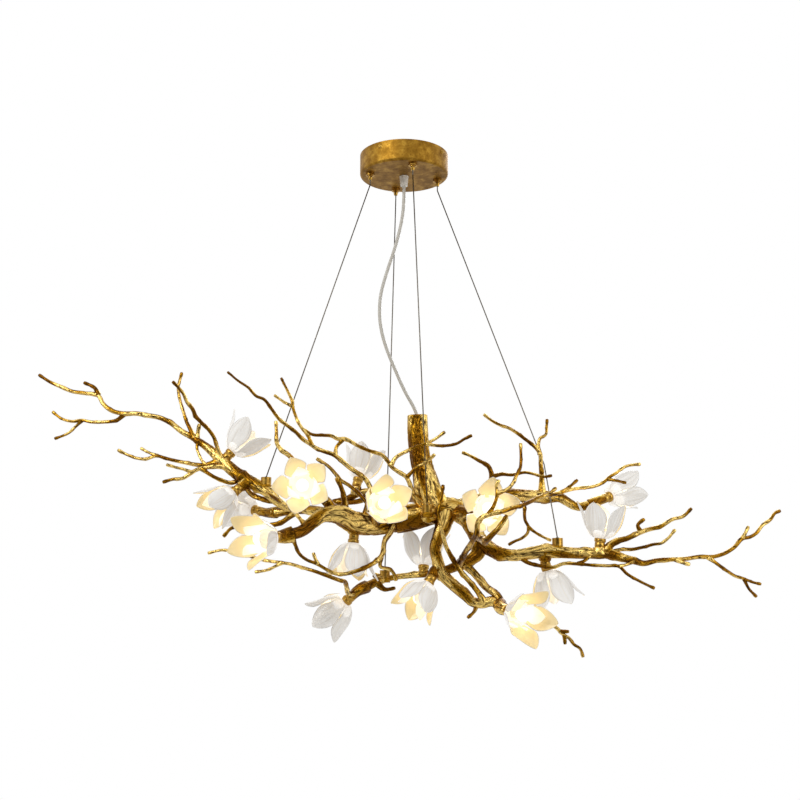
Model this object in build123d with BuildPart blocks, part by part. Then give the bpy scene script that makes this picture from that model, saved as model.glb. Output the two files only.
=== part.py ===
"""Brass branch chandelier: a ceiling canopy, four wires, a frame of cast branches and sixteen lit blossoms.

Sizes are in millimetres. The origin is on the ceiling at the middle of the canopy, +Z is up,
+X runs along the frame's long side and +Y runs away from the viewer.
"""

import os
from collections import namedtuple
from math import cos, hypot, radians, sin, tan

from build123d import *

os.makedirs("parts", exist_ok=True)

# Clearances
FIT_GAP = 0.15
SLIDE_GAP = 0.3

# Canopy and ceiling bracket
CANOPY_R = 75.0
CANOPY_HEIGHT = 36.0
CANOPY_WALL = 1.5
RIM_ROUND = 4.0
BRACKET_THICK = 2.0
FLANGE_HEIGHT = 16.0
CEILING_HOLE_R = 2.75
CEILING_HOLE_SPACING = 100.0
CABLE_HOLE_R = 12.0
CABLE_HOLE_Y = 42.0
SIDE_SCREW_ANGLES = (58, 148, 238, 328)
SIDE_SCREW_DROP = 8.0
SIDE_SCREW_R = 2.0
SIDE_SCREW_LENGTH = 7.0
SIDE_SCREW_HEAD_R = 3.6
SIDE_SCREW_HEAD = 2.4
BLOCK_LENGTH = 30.0
BLOCK_WIDTH = 18.0
BLOCK_HEIGHT = 16.0

# Cord gland and power cord
CORD_R = 2.75
GLAND_THREAD_R = 5.0
GLAND_TOP_R = 7.75
GLAND_TIP_R = 6.0
GLAND_LENGTH = 17.0
GLAND_INSIDE = 6.0

# Wire grippers, one to each wire
GRIPPER_ANGLES = {"left": 194, "back": 104, "front": 284, "right": 14}
GRIPPER_CIRCLE_R = 59.0
GRIPPER_BARREL_R = 4.0
GRIPPER_INSIDE = 12.0
GRIPPER_FLANGE_R = 7.4
GRIPPER_FLANGE = 4.0
GRIPPER_SLEEVE_R = 5.0
GRIPPER_SLEEVE = 1.5
TIP_STEM_R = 2.8
TIP_STEM = 12.0
TIP_KNOB_R = 4.0
TIP_KNOB = 4.0
TIP_TRAVEL = 2.0

# Wires and the cups that they end in
WIRE_R = 1.0
WIRE_BEND_R = 30.0
WIRE_LEAD = 8.0
FERRULE_R = 2.4
FERRULE_LENGTH = 7.0
ANCHOR_R = 8.5
ANCHOR_HEIGHT = 12.0
ANCHOR_HOLE = 6.0
BOSS_R = 9.5
BOSS_HEIGHT = 8.0

# Branch ends that carry blossoms, and the holder inside each blossom
POST_R = 8.0
POST_LENGTH = 16.0
STEM_LEAD = 26.0
STEM_RISE = 6.0
THREAD_R = 5.0
THREAD_LENGTH = 10.0
THREAD_BORE = 13.0
SHADE_FLOOR = 3.0
HOLDER_R = 8.0
HOLDER_HEIGHT = 12.0
PLUG_R = 3.8
PLUG_LENGTH = 8.0
BULB_COLLAR_R = 6.0
BULB_COLLAR = 4.0
BULB_R = 9.5

# Blossom shade: the cup's outline, then each petal's ribs as radius, height, width and hollow
PETAL_THICK = 1.8
CUP_FOOT_R = 11.0
CUP_RIM_R = 23.2
CUP_HEIGHT = 13.0
CUP_WALL = 2.4
CUP_BELLY = (19.4, 5.4)
OUTER_PETAL = (
    (21.6, 9.0, 18, 2.0),
    (28.0, 18, 29.5, 4.0),
    (32.5, 28, 35, 5.0),
    (36.5, 38, 38, 5.0),
    (40.5, 47, 34, 3.6),
    (43.2, 53, 22, 1.8),
    (44.6, 55.6, 8, 0.5),
)
INNER_PETAL = (
    (18.4, 7.0, 14, 1.4),
    (19.0, 14, 20, 2.2),
    (20.4, 22, 25, 3.4),
    (22.4, 32, 27, 3.8),
    (25.0, 42, 24, 3.0),
    (27.0, 48, 15, 1.4),
    (27.8, 50, 6, 0.4),
)
OUTER_PETALS = 5
INNER_PETALS = 3

# Branches are drawn on the upright plane through the trunk as one viewer sees it.
# A depth then moves a drawn point along that viewer's sight line, away from the viewer if positive.
EYE = Vector(-7, -1796, -753)

Route = namedtuple("Route", "points depths widths")
Blossom = namedtuple("Blossom", "bough base facing stem stem_width turn")

TRUNK_BORE_R = 5.0
TRUNK_BORE = 32.0
TRUNK_TOP = (21.6, -449.5)

ANCHORS = {
    "left": ("left_upper_limb", (-224, -551, 16)),
    "back": ("lower_left_limb", (-31, -700, 45)),
    "front": ("trunk", (37, -596, -30)),
    "right": ("right_limb", (246, -649, -45)),
}

# Where a wire bends round a twig on its way down
WIRE_BENDS = {"left": (), "back": (), "front": (), "right": ((227.5, -530, 66),)}

# The cord's route from the terminal block to the trunk
CORD_ROUTE = (
    (0, -BRACKET_THICK - BLOCK_HEIGHT),
    (0, -52),
    (-0.5, -87),
    (-4, -117),
    (-14, -159),
    (-27, -198),
    (-39, -240),
    (-41.5, -268),
    (-40, -297),
    (-32, -331),
    (-15, -373),
    (1, -410),
    (14, -432),
    (21, -448),
    (21.7, -465),
)

# Each branch runs from its root to its tip; depths and widths are spread evenly along it.
BOUGHS = {
    "trunk": [
        Route(
            (TRUNK_TOP, (22.4, -485), (24, -510), (29, -535), (36, -562), (45, -588), (52, -604)),
            (0, 0),
            (31, 33, 31, 34, 40, 46, 44),
        ),
        Route(
            ((-14, -621), (20, -616), (50, -607), (80, -603), (93, -612)),
            (0, 0),
            (30, 33, 42, 36, 28),
        ),
        Route(((84, -604), (98, -590), (109, -574)), (0, 0), (14, 11, 7)),
        Route(((46, -610), (37, -613)), (-4, -31), (24, 19)),
    ],
    "left_limb": [
        Route(
            (
                (6, -618), (-20, -623), (-48, -626), (-78, -624), (-110, -611), (-134, -614),
                (-150, -626), (-164, -637), (-181, -643),
            ),
            (0, 0, -8, -20, -36, -52, -70, -84),
            (24, 28, 34, 38, 33, 25, 20, 18.5, 18),
        ),
        Route(
            (
                (-14, -622), (-23, -641), (-31, -653), (-37, -678), (-47, -687), (-59, -694), (-76, -701),
                (-96, -706), (-108, -706), (-122, -700), (-140, -690), (-157, -683), (-168, -674),
                (-174, -662), (-180, -646),
            ),
            (-4, -30, -48, -64, -70, -69, -69, -74, -82),
            (10, 8, 7.5, 7, 6, 5, 5, 5, 6),
        ),
        Route(((-37, -678), (-38, -694), (-22, -699), (-16, -707), (-13, -717)), (-46, -48), (6, 5.5, 5)),
        Route(((-138, -691), (-143, -681), (-146, -672)), (-69, -70), (5, 4)),
        Route(
            (
                (-46, -620), (-53, -603), (-65, -587), (-78, -573), (-91, -563), (-104, -555), (-112, -545),
                (-122, -534), (-143, -520),
            ),
            (-6, -24, -33, -37, -40),
            (8, 6.5, 6, 6, 4.6),
        ),
        Route(
            ((-96, -612), (-96, -594), (-98, -580), (-104, -563), (-110, -551)),
            (-26, -32, -38),
            (11, 8, 6),
        ),
        Route(
            (
                (-124, -592), (-150, -558), (-176, -527), (-189, -514), (-200, -506), (-207, -497),
                (-209, -475), (-210, -458),
            ),
            (-34, -36, -34, -32),
            (10, 9.5, 9, 8, 6, 4.6),
        ),
    ],
    "left_back_limb": [
        Route(((-118, -613), (-148, -604), (-187, -606), (-213, -609)), (-34, -9, 16, 32), (16, 14, 13, 15)),
        Route(
            (
                (-172, -605), (-184, -614), (-198, -624), (-223, -629), (-252, -630), (-278, -633),
                (-291, -647),
            ),
            (6, 14, 20, 22, 20, 16),
            (9, 8, 8, 7, 6, 4.6),
        ),
    ],
    "left_upper_limb": [
        Route(
            (
                (-164, -604), (-188, -600), (-206, -589), (-222, -574), (-245, -561), (-270, -546),
                (-296, -524), (-322, -501), (-343, -487), (-363, -476), (-383, -461), (-400, -453),
                (-420, -449), (-439, -446), (-460, -446), (-482, -440), (-494, -430), (-503, -416),
                (-525, -412), (-546, -409), (-566, -401), (-584, -393), (-603, -381),
            ),
            (0, 10, 18, 28, 36, 42, 46, 50, 56, 62, 68, 74),
            (8, 14, 18, 22, 20, 14, 10, 8.6, 8, 7.6, 7.2, 7, 6.6, 6, 4.6),
        ),
        Route(
            ((-230, -568), (-205, -587), (-192, -595), (-181, -604), (-168, -618), (-158, -631)),
            (18, -2, -22, -40, -56, -66),
            (8, 6.5, 6, 6, 6, 7),
        ),
        Route(((-503, -415), (-509, -404), (-528, -394)), (60, 63), (6.6, 6, 4.8)),
        Route(
            (
                (-458, -446), (-469, -456), (-492, -460), (-512, -460), (-529, -457), (-542, -459),
                (-560, -455), (-577, -443),
            ),
            (54, 60, 66, 72),
            (7, 5.4, 5, 4.2),
        ),
        Route(((-527, -457), (-536, -466), (-547, -477), (-571, -488)), (65, 70), (5, 4.6, 4)),
        Route(
            (
                (-289, -529), (-301, -512), (-306, -499), (-311, -485), (-318, -475), (-333, -460),
                (-342, -450), (-347, -439), (-356, -428), (-364, -412), (-382, -392),
            ),
            (30, 24, 14, 6),
            (9, 6.4, 6, 7, 5.4, 4.4),
        ),
        Route(
            (
                (-343, -488), (-350, -472), (-357, -458), (-362, -443), (-369, -421), (-372, -405),
                (-367, -377),
            ),
            (40, 50, 54),
            (8, 5.6, 5, 4.4),
        ),
        Route(
            ((-336, -491), (-338, -502), (-334, -514), (-328, -525), (-316, -535)),
            (39, 33, 23),
            (5, 4.4, 5),
        ),
        Route(((-338, -490), (-337, -476), (-335, -463)), (40, 38), (6.5, 5)),
        Route(
            (
                (-298, -524), (-328, -531), (-356, -527), (-388, -520), (-402, -516), (-422, -521),
                (-438, -519), (-451, -514), (-467, -506),
            ),
            (31, 30, 30, 34, 38),
            (10, 6.4, 5.6, 5.2, 4.4),
        ),
        Route(((-401, -516), (-417, -510), (-430, -503)), (34, 36), (5, 4)),
        Route(
            (
                (-274, -543), (-295, -534), (-321, -535), (-338, -539), (-349, -546), (-358, -552),
                (-375, -554), (-392, -559),
            ),
            (26, 22, 18, 16),
            (10, 7, 6, 4.6),
        ),
        Route(((-345, -543), (-358, -538), (-374, -534), (-387, -530)), (18, 14), (5, 4.2)),
        Route(
            ((-329, -537), (-311, -549), (-298, -555), (-280, -560), (-262, -552)),
            (19, 13, 17, 30),
            (6, 6, 6.5, 8),
        ),
        Route(((-262, -553), (-249, -577), (-227, -587), (-204, -590)), (32, 37, 30, 16), (10, 8, 9, 9)),
    ],
    "back_limb": [
        Route(
            ((40, -588), (8, -583), (-27, -580), (-55, -575), (-74, -577), (-92, -586), (-116, -591)),
            (8, 56, 88, 98, 100, 98),
            (20, 15, 13, 13, 12, 9),
        ),
        Route(((-50, -576), (-66, -587), (-90, -592), (-110, -591)), (97, 94, 94, 97), (10, 9, 8, 8)),
    ],
    "left_twigs": [
        Route(
            (
                (-64, -620), (-59, -596), (-54, -573), (-62, -555), (-77, -543), (-90, -534), (-104, -522),
                (-115, -514), (-129, -509), (-142, -504), (-154, -496), (-165, -489), (-178, -476),
                (-191, -466), (-203, -457), (-218, -438), (-231, -422), (-243, -417), (-255, -404),
                (-274, -391), (-292, -376),
            ),
            (-14, -44, -54, -60, -64, -68, -72, -74),
            (11, 8, 7.4, 7, 6.4, 6, 5.4, 5, 4.2, 3.2),
        ),
        Route(
            (
                (-151, -498), (-158, -481), (-165, -473), (-172, -463), (-177, -452), (-182, -438),
                (-184, -426), (-192, -408), (-203, -386),
            ),
            (-62, -61, -60),
            (5.6, 5, 5, 3.6),
        ),
        Route(((-182, -435), (-200, -425), (-214, -415)), (-60, -62), (4.8, 3.6)),
        Route(
            (
                (30, -595), (14, -578), (8, -559), (3, -550), (-8, -543), (-22, -532), (-29, -521),
                (-37, -514), (-49, -510), (-63, -505), (-76, -499), (-86, -493), (-97, -488), (-108, -488),
                (-119, -483), (-132, -482), (-149, -481), (-166, -472),
            ),
            (-9, -38, -46, -50, -54, -58, -60),
            (12, 7, 6.4, 6, 5.4, 6.4, 5, 4.8),
        ),
        Route(((-100, -489), (-111, -503), (-112, -517)), (-55, -57), (5, 5.5)),
        Route(
            ((-22, -532), (-14, -519), (0, -510), (17, -502), (34, -496), (49, -489), (67, -476)),
            (-49, -52, -56),
            (6, 5, 4.2),
        ),
        Route(
            ((36, -496), (54, -499), (68, -499), (85, -496), (100, -487), (111, -482)),
            (-54, -57),
            (5, 5, 4.2),
        ),
        Route(((4, -551), (19, -536), (32, -528), (42, -521), (50, -513)), (-43, -45), (5.4, 4.4)),
    ],
    "right_limb": [
        Route(
            (
                (84, -606), (102, -618), (111, -634), (120, -652), (134, -664), (150, -672), (172, -676),
                (190, -675), (208, -672), (227, -670), (243, -671), (271, -673), (297, -673), (312, -674),
                (328, -674), (348, -680), (366, -685), (383, -689), (403, -685), (429, -683), (450, -682),
                (470, -679), (498, -678), (514, -673), (530, -663), (543, -650), (556, -647), (566, -641),
                (577, -628), (591, -618), (598, -609), (607, -605),
            ),
            (0, -20, -32, -40, -46, -50, -50, -46, -38, -28, -16, -4, 6),
            (22, 25, 25, 22, 18, 18, 21, 18, 16, 17, 14, 10, 7.4, 6.6, 6.4, 6.2, 6, 6, 5.6, 5.2, 4.6),
        ),
        Route(((543, -650), (549, -640), (554, -630)), (-12, -8), (5.4, 4.2)),
        Route(
            ((486, -679), (502, -691), (517, -702), (528, -709), (541, -713), (556, -719), (569, -722)),
            (-28, -20, -14),
            (6, 5, 4),
        ),
        Route(((542, -713), (549, -729), (561, -742)), (-17, -14), (5, 4)),
        Route(((434, -683), (446, -688), (457, -691)), (-39, -36), (6, 4.8)),
        Route(
            (
                (322, -674), (331, -660), (342, -654), (359, -649), (374, -642), (390, -636), (413, -630),
                (432, -619), (450, -614), (464, -601),
            ),
            (-50, -50, -46, -42),
            (11, 9, 7.6, 6.4, 5.6, 4.4),
        ),
        Route(((381, -640), (376, -629), (387, -618)), (-47, -46), (6, 4.8)),
        Route(
            (
                (330, -672), (348, -667), (364, -667), (385, -663), (400, -659), (413, -657), (423, -650),
                (436, -635),
            ),
            (-50, -58, -58),
            (6, 5, 4),
        ),
        Route(
            (
                (184, -677), (196, -687), (212, -692), (240, -695), (253, -690), (277, -690), (299, -692),
                (324, -693), (343, -694), (356, -706), (373, -716), (399, -729),
            ),
            (-38, -62, -62, -62, -60, -60),
            (7, 5.2, 5, 5, 4),
        ),
        Route(((343, -694), (356, -691), (368, -686)), (-61, -52), (4.6, 4.6)),
        Route(((277, -690), (290, -684), (299, -675)), (-61, -54), (4.6, 5)),
        Route(
            ((117, -647), (125, -651), (139, -646), (154, -630), (166, -612)),
            (-22, -150, -160, -162),
            (11, 9, 7, 4.6),
        ),
    ],
    "right_upper_limb": [
        Route(
            (
                (82, -604), (104, -595), (126, -587), (150, -582), (173, -580), (202, -582), (220, -582),
                (237, -583), (252, -584), (264, -591), (277, -598), (289, -599), (300, -594),
            ),
            (4, 24, 38, 47, 53, 57, 60, 63, 66),
            (22, 20, 20, 21, 22, 22, 21, 18, 15, 13.5, 12.5),
        ),
        Route(
            (
                (223, -582), (223, -565), (223, -548), (222, -530), (221, -512), (212, -500), (197, -488),
                (184, -478), (171, -470), (157, -465), (144, -458), (130, -447),
            ),
            (58, 54, 48, 42),
            (11, 8, 7, 6, 5.6, 5, 4.2),
        ),
        Route(
            ((221, -514), (219, -497), (222, -487), (231, -481), (233, -468), (234, -455)),
            (53, 52),
            (6, 5, 4.2),
        ),
        Route(
            ((140, -584), (138, -566), (142, -550), (136, -532), (122, -524), (108, -516), (94, -510)),
            (43, 38, 36, 34),
            (12, 9, 8, 7, 5, 4.6),
        ),
        Route(
            ((141, -550), (159, -546), (174, -547), (197, -543), (212, -546), (226, -550), (240, -548)),
            (37, 40, 42),
            (6.4, 5, 4.2),
        ),
        Route(
            (
                (193, -584), (194, -600), (195, -621), (200, -632), (198, -641), (189, -649), (175, -655),
                (167, -660),
            ),
            (55, 51, 48),
            (7, 5.4, 5, 4),
        ),
        Route(((199, -631), (211, -640), (223, -647), (236, -653)), (50, 48), (5, 4)),
    ],
    "lower_limb": [
        Route(
            (
                (66, -610), (60, -634), (53, -651), (49, -665), (53, -684), (61, -706), (78, -723),
                (97, -740), (109, -750), (124, -752), (139, -749), (152, -753),
            ),
            (-2, -20, -28, -30, -31, -33, -36, -40),
            (23, 22, 19, 17, 17, 18, 18, 17, 16, 16, 16),
        ),
        Route(
            (
                (127, -751), (120, -738), (106, -720), (88, -699), (74, -676), (67, -662), (62, -643),
                (58, -627), (55, -611), (56, -599), (60, -584), (63, -563),
            ),
            (-38, -46, -46, -46, -46, -44, -40, -38),
            (9, 8, 8, 7.4, 6, 5.4, 5, 4.4),
        ),
        Route(
            ((95, -689), (111, -704), (131, -727), (147, -739), (156, -755)),
            (-25, -28, -34, -44),
            (11, 11, 12, 13),
        ),
        Route(
            ((120, -656), (118, -673), (106, -684), (88, -692), (62, -702)),
            (-22, -22, -25, -30),
            (18, 17, 15, 14),
        ),
        Route(((115, -752), (112, -763), (100, -775)), (-37, -43), (7, 5, 4)),
        Route(
            (
                (152, -753), (200, -772), (243, -792), (252, -801), (260, -806), (268, -816), (277, -822),
                (282, -836),
            ),
            (-40, -28, -30, -36),
            (8, 6, 5.4, 4.2),
        ),
        Route(((248, -796), (261, -796)), (-32, -34), (5, 4)),
        Route(((253, -802), (254, -816)), (-32, -32), (5, 4)),
    ],
    "lower_left_limb": [
        Route(
            ((62, -708), (34, -706), (10, -708), (-9, -710), (-33, -713), (-50, -707)),
            (-30, 36, 48, 48, 45, 48),
            (14, 12, 10, 9, 10, 7),
        ),
        Route(((-31, -713), (-46, -719), (-62, -727)), (44, 34, 22), (9, 13, 15)),
        Route(((-44, -720), (-32, -730), (-14, -728)), (34, 30, 30), (9, 7, 4)),
        Route(
            (
                (-79, -737), (-90, -735), (-92, -727), (-94, -719), (-106, -715), (-120, -710),
                (-142, -702), (-162, -696), (-183, -690), (-197, -688), (-225, -684), (-258, -675),
                (-291, -668), (-315, -673),
            ),
            (12, -62, -70, -58, -44, -34, -28, -24),
            (8, 6, 5.4, 5, 5, 4.6, 4),
        ),
        Route(((-195, -688), (-203, -692), (-217, -699), (-239, -703)), (-49, -46), (4.8, 4)),
    ],
    "right_front_twig": [
        Route(
            (
                (88, -690), (100, -668), (111, -651), (117, -637), (118, -626), (124, -617), (137, -611),
                (155, -607), (173, -601), (191, -596), (207, -589), (225, -581), (244, -578), (255, -575),
                (273, -570), (288, -568), (306, -566), (323, -559), (334, -550), (347, -542), (358, -534),
                (384, -529),
            ),
            (-28, -100, -146, -156, -154, -140, -114, -88, -66, -48, -34, -24, -18),
            (10, 8, 7.4, 7, 6.4, 6, 5.8, 5.4, 5, 5, 4.2),
        ),
        Route(
            ((136, -611), (144, -598), (149, -585), (150, -572), (149, -565), (154, -555)),
            (-155, -152),
            (6, 5, 4.2),
        ),
        Route(
            (
                (150, -577), (159, -574), (170, -568), (177, -559), (183, -546), (188, -537), (190, -522),
                (190, -508), (190, -495),
            ),
            (-153, -146, -138),
            (5.4, 5, 4.2),
        ),
        Route(((223, -582), (236, -576), (246, -568)), (-107, -98), (5, 4.2)),
        Route(((253, -576), (268, -566), (281, -555)), (-82, -72), (5, 4.2)),
        Route(((330, -554), (347, -557), (360, -560)), (-35, -30), (4.8, 4)),
    ],
}

# Which finished branches a branch is fitted against, so that it ends on their skin
FITTED_TO = {
    "trunk": (),
    "left_limb": ("trunk",),
    "left_back_limb": ("left_limb",),
    "left_upper_limb": ("left_limb", "left_back_limb"),
    "back_limb": ("trunk",),
    "left_twigs": ("trunk", "left_limb"),
    "right_limb": ("trunk",),
    "right_upper_limb": ("trunk", "right_limb"),
    "lower_limb": ("trunk", "right_limb"),
    "lower_left_limb": ("lower_limb",),
    "right_front_twig": ("lower_limb",),
}

# Blossoms from left to right: the branch, the foot, the way it faces, its stem from the root and its turn
BLOSSOMS = [
    Blossom("left_upper_limb", (-281, -509, 32), (0.65, 0.1, 0.75), ((-297, -528, 36),), 14, 10),
    Blossom("left_upper_limb", (-277, -576, 10), (-0.72, -0.3, -0.62), ((-252, -556, 26),), 15, 30),
    Blossom("left_back_limb", (-243, -604, 56), (-0.8, 0.5, 0.2), ((-206, -608, 28),), 13.6, 0),
    Blossom("left_limb", (-213, -648, -110), (-0.6, -0.78, -0.12), ((-180, -643, -84),), 18, 20),
    Blossom(
        "left_limb", (-164, -565, -70), (0.05, -0.99, -0.06),
        ((-110, -612, -28), (-124, -592, -34), (-146, -574, -40)),
        14, 18,
    ),
    Blossom("back_limb", (-74, -552, 100), (0.25, 0.2, 0.94), ((-78, -579, 99),), 13, 40),
    Blossom("left_limb", (-40, -597, -80), (0.3, -0.94, 0.08), ((-42, -625, -8), (-48, -614, -36)), 16, 5),
    Blossom("left_limb", (-82, -657, -14), (-0.1, -0.05, -0.99), ((-80, -628, -16),), 18, 50),
    Blossom("lower_left_limb", (31, -692, 42), (0.05, 0.2, 0.97), (), 0, 25),
    Blossom("lower_limb", (37, -722, -40), (-0.5, -0.35, -0.8), ((58, -698, -30),), 14, 15),
    Blossom("lower_left_limb", (-93, -749, 20), (-0.7, 0.35, -0.6), ((-60, -726, 24),), 15, 0),
    Blossom("trunk", (133, -602, -80), (0.02, -0.99, -0.06), ((84, -607, -4), (108, -608, -34)), 18, 60),
    Blossom("right_limb", (315, -649, -50), (0.1, -0.1, 0.98), ((312, -676, -50),), 15, 0),
    Blossom("right_upper_limb", (333, -582, 80), (0.8, 0.45, 0.3), ((299, -595, 65),), 12.5, 35),
    Blossom("right_limb", (229, -700, -38), (0.3, 0.12, -0.94), ((226, -670, -44),), 15, 20),
    Blossom("lower_limb", (172, -766, -80), (0.5, -0.84, -0.16), ((151, -753, -40),), 16, 45),
]


def save(name, part):
    """Label one finished piece and write its file."""
    part.label = name
    export_step(part, f"parts/{name}.step")


def around(angle, radius, height):
    """A point at an angle around the canopy's middle."""
    return Vector(radius * cos(radians(angle)), radius * sin(radians(angle)), height)


def outward(angle, radius, height):
    """A place on the canopy's side that looks straight out from its middle."""
    return Plane(around(angle, radius, height), z_dir=around(angle, 1, 0)).location


def spot(across, height, depth):
    """A drawn point, moved along its sight line by a depth."""
    drawn = Vector(across, 0, height)
    return EYE + (drawn - EYE) * ((depth - EYE.Y) / -EYE.Y)


def spread(values, share):
    """The value a share of the way along evenly spaced values."""
    place = share * (len(values) - 1)
    first = min(int(place), len(values) - 2)
    return values[first] + (values[first + 1] - values[first]) * (place - first)


def stations(route):
    """The places and widths along one drawn branch."""
    runs = [hypot(b[0] - a[0], b[1] - a[1]) for a, b in zip(route.points, route.points[1:])]
    shares = [sum(runs[:i]) / sum(runs) for i in range(len(route.points))]
    places = [spot(*point, spread(route.depths, share)) for point, share in zip(route.points, shares)]
    return places, [spread(route.widths, share) for share in shares]


def branch(places, widths):
    """A round, tapering solid that runs straight from place to place."""
    steps = [(b - a).normalized() for a, b in zip(places, places[1:])]
    headings = [(a + b).normalized() for a, b in zip(steps[:1] + steps, steps + steps[-1:])]
    side = headings[0].cross(Vector(0.3, 1, 0.2)).normalized()
    with BuildPart() as wood:
        for place, heading, width in zip(places, headings, widths):
            side = (side - heading * side.dot(heading)).normalized()
            with BuildSketch(Plane(place, x_dir=side, z_dir=heading)):
                Circle(width / 2)
        loft(ruled=True)
    return wood.part


def seat(blossom):
    """The plane that a blossom sits on, with its normal the way the blossom faces."""
    facing = Vector(*blossom.facing).normalized()
    level = facing.cross(Vector(0.2, 0.3, 1)).normalized()
    turn = radians(blossom.turn)
    across = level * cos(turn) + facing.cross(level) * sin(turn)
    return Plane(spot(*blossom.base), x_dir=across, z_dir=facing)


def stem(blossom):
    """The branch end that leads a limb round to the blossom's seat."""
    foot = seat(blossom)
    places = [spot(*place) for place in blossom.stem]
    lead = foot.origin - foot.z_dir * STEM_LEAD
    if (lead - places[-1]).dot(foot.z_dir) > STEM_RISE:
        places.append(lead)
    places.append(foot.origin - foot.z_dir * (POST_LENGTH - 2))
    last = 2 * POST_R - 1
    return branch(
        places, [spread((blossom.stem_width, last), i / (len(places) - 1)) for i in range(len(places))]
    )


def petal(ribs, angle):
    """One petal, lofted through crescent ribs that stand across its midline."""
    turn = Plane.XY.rotated((0, 0, angle))
    mids = [Vector(rib[0], 0, rib[1]) for rib in ribs]
    steps = [(b - a).normalized() for a, b in zip(mids, mids[1:])]
    headings = [(a + b).normalized() for a, b in zip(steps[:1] + steps, steps + steps[-1:])]
    with BuildPart() as leaf:
        for rib, mid, heading in zip(ribs, mids, headings):
            half, hollow = rib[2] / 2, rib[3]
            frame = Plane(
                turn.from_local_coords(mid),
                x_dir=turn.y_dir,
                z_dir=turn.from_local_coords(heading) - turn.origin,
            )
            with BuildSketch(frame):
                with BuildLine():
                    ThreePointArc((-half, hollow), (0, 0), (half, hollow))
                    Line((half, hollow), (half, hollow + PETAL_THICK))
                    ThreePointArc(
                        (half, hollow + PETAL_THICK), (0, PETAL_THICK), (-half, hollow + PETAL_THICK)
                    )
                    Line((-half, hollow + PETAL_THICK), (-half, hollow))
                make_face()
        loft(ruled=True)
    return leaf.part


def shade_form():
    """A blossom shade standing on the origin: a cup with an outer and an inner ring of petals."""
    petals = [petal(OUTER_PETAL, 360 / OUTER_PETALS * i) for i in range(OUTER_PETALS)]
    petals += [petal(INNER_PETAL, 360 / INNER_PETALS * i + 36) for i in range(INNER_PETALS)]
    hole_r = THREAD_R + FIT_GAP
    belly_r, belly_z = CUP_BELLY
    with BuildPart() as cup:
        with BuildSketch(Plane.XZ):
            with BuildLine():
                Polyline(
                    (hole_r, 0),
                    (CUP_FOOT_R, 0),
                    CUP_BELLY,
                    (CUP_RIM_R, CUP_HEIGHT),
                    (CUP_RIM_R - CUP_WALL, CUP_HEIGHT),
                    (belly_r - CUP_WALL, belly_z + CUP_WALL / 2),
                    (HOLDER_R + 0.6, SHADE_FLOOR),
                    (hole_r, SHADE_FLOOR),
                    close=True,
                )
            make_face()
        revolve(axis=Axis.Z)
        add(petals)
    return cup.part


# The cap, open at the ceiling, with holes for the grippers, the gland and the side screws
with BuildPart() as canopy_cover:
    Cylinder(CANOPY_R, CANOPY_HEIGHT, align=(Align.CENTER, Align.CENTER, Align.MAX))
    fillet(canopy_cover.edges().group_by(Axis.Z)[0], RIM_ROUND)
    Cylinder(
        CANOPY_R - CANOPY_WALL,
        CANOPY_HEIGHT - CANOPY_WALL,
        align=(Align.CENTER, Align.CENTER, Align.MAX),
        mode=Mode.SUBTRACT,
    )
    with Locations(Location((0, 0, -CANOPY_HEIGHT))):
        Cylinder(GLAND_THREAD_R + FIT_GAP, 4 * CANOPY_WALL, mode=Mode.SUBTRACT)
    with Locations(
        *[Location(around(angle, GRIPPER_CIRCLE_R, -CANOPY_HEIGHT)) for angle in GRIPPER_ANGLES.values()]
    ):
        Cylinder(GRIPPER_BARREL_R + FIT_GAP, 4 * CANOPY_WALL, mode=Mode.SUBTRACT)
    for screw_angle in SIDE_SCREW_ANGLES:
        with Locations(outward(screw_angle, CANOPY_R, -SIDE_SCREW_DROP)):
            Cylinder(SIDE_SCREW_R + FIT_GAP, 4 * CANOPY_WALL, mode=Mode.SUBTRACT)
save("canopy_cover", canopy_cover.part)

# The plate on the ceiling, with a flange that the cap is screwed to
flange_r = CANOPY_R - CANOPY_WALL - SLIDE_GAP
with BuildPart() as ceiling_bracket:
    Cylinder(flange_r, FLANGE_HEIGHT, align=(Align.CENTER, Align.CENTER, Align.MAX))
    with Locations(Location((0, 0, -BRACKET_THICK))):
        Cylinder(
            flange_r - BRACKET_THICK,
            FLANGE_HEIGHT,
            align=(Align.CENTER, Align.CENTER, Align.MAX),
            mode=Mode.SUBTRACT,
        )
    with Locations((-CEILING_HOLE_SPACING / 2, 0), (CEILING_HOLE_SPACING / 2, 0)):
        Cylinder(CEILING_HOLE_R, 4 * BRACKET_THICK, mode=Mode.SUBTRACT)
    with Locations((0, CABLE_HOLE_Y)):
        Cylinder(CABLE_HOLE_R, 4 * BRACKET_THICK, mode=Mode.SUBTRACT)
    for screw_angle in SIDE_SCREW_ANGLES:
        with Locations(outward(screw_angle, flange_r, -SIDE_SCREW_DROP)):
            Cylinder(SIDE_SCREW_R + FIT_GAP, 4 * BRACKET_THICK, mode=Mode.SUBTRACT)
save("ceiling_bracket", ceiling_bracket.part)

# Screws through the cap's wall, each with a domed head
with BuildPart() as canopy_side_screws:
    for screw_angle in SIDE_SCREW_ANGLES:
        with Locations(outward(screw_angle, CANOPY_R, -SIDE_SCREW_DROP)):
            Cylinder(SIDE_SCREW_R, SIDE_SCREW_LENGTH, align=(Align.CENTER, Align.CENTER, Align.MAX))
            Cone(
                SIDE_SCREW_HEAD_R,
                SIDE_SCREW_HEAD_R * 0.6,
                SIDE_SCREW_HEAD,
                align=(Align.CENTER, Align.CENTER, Align.MIN),
            )
save("canopy_side_screws", canopy_side_screws.part)

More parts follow.
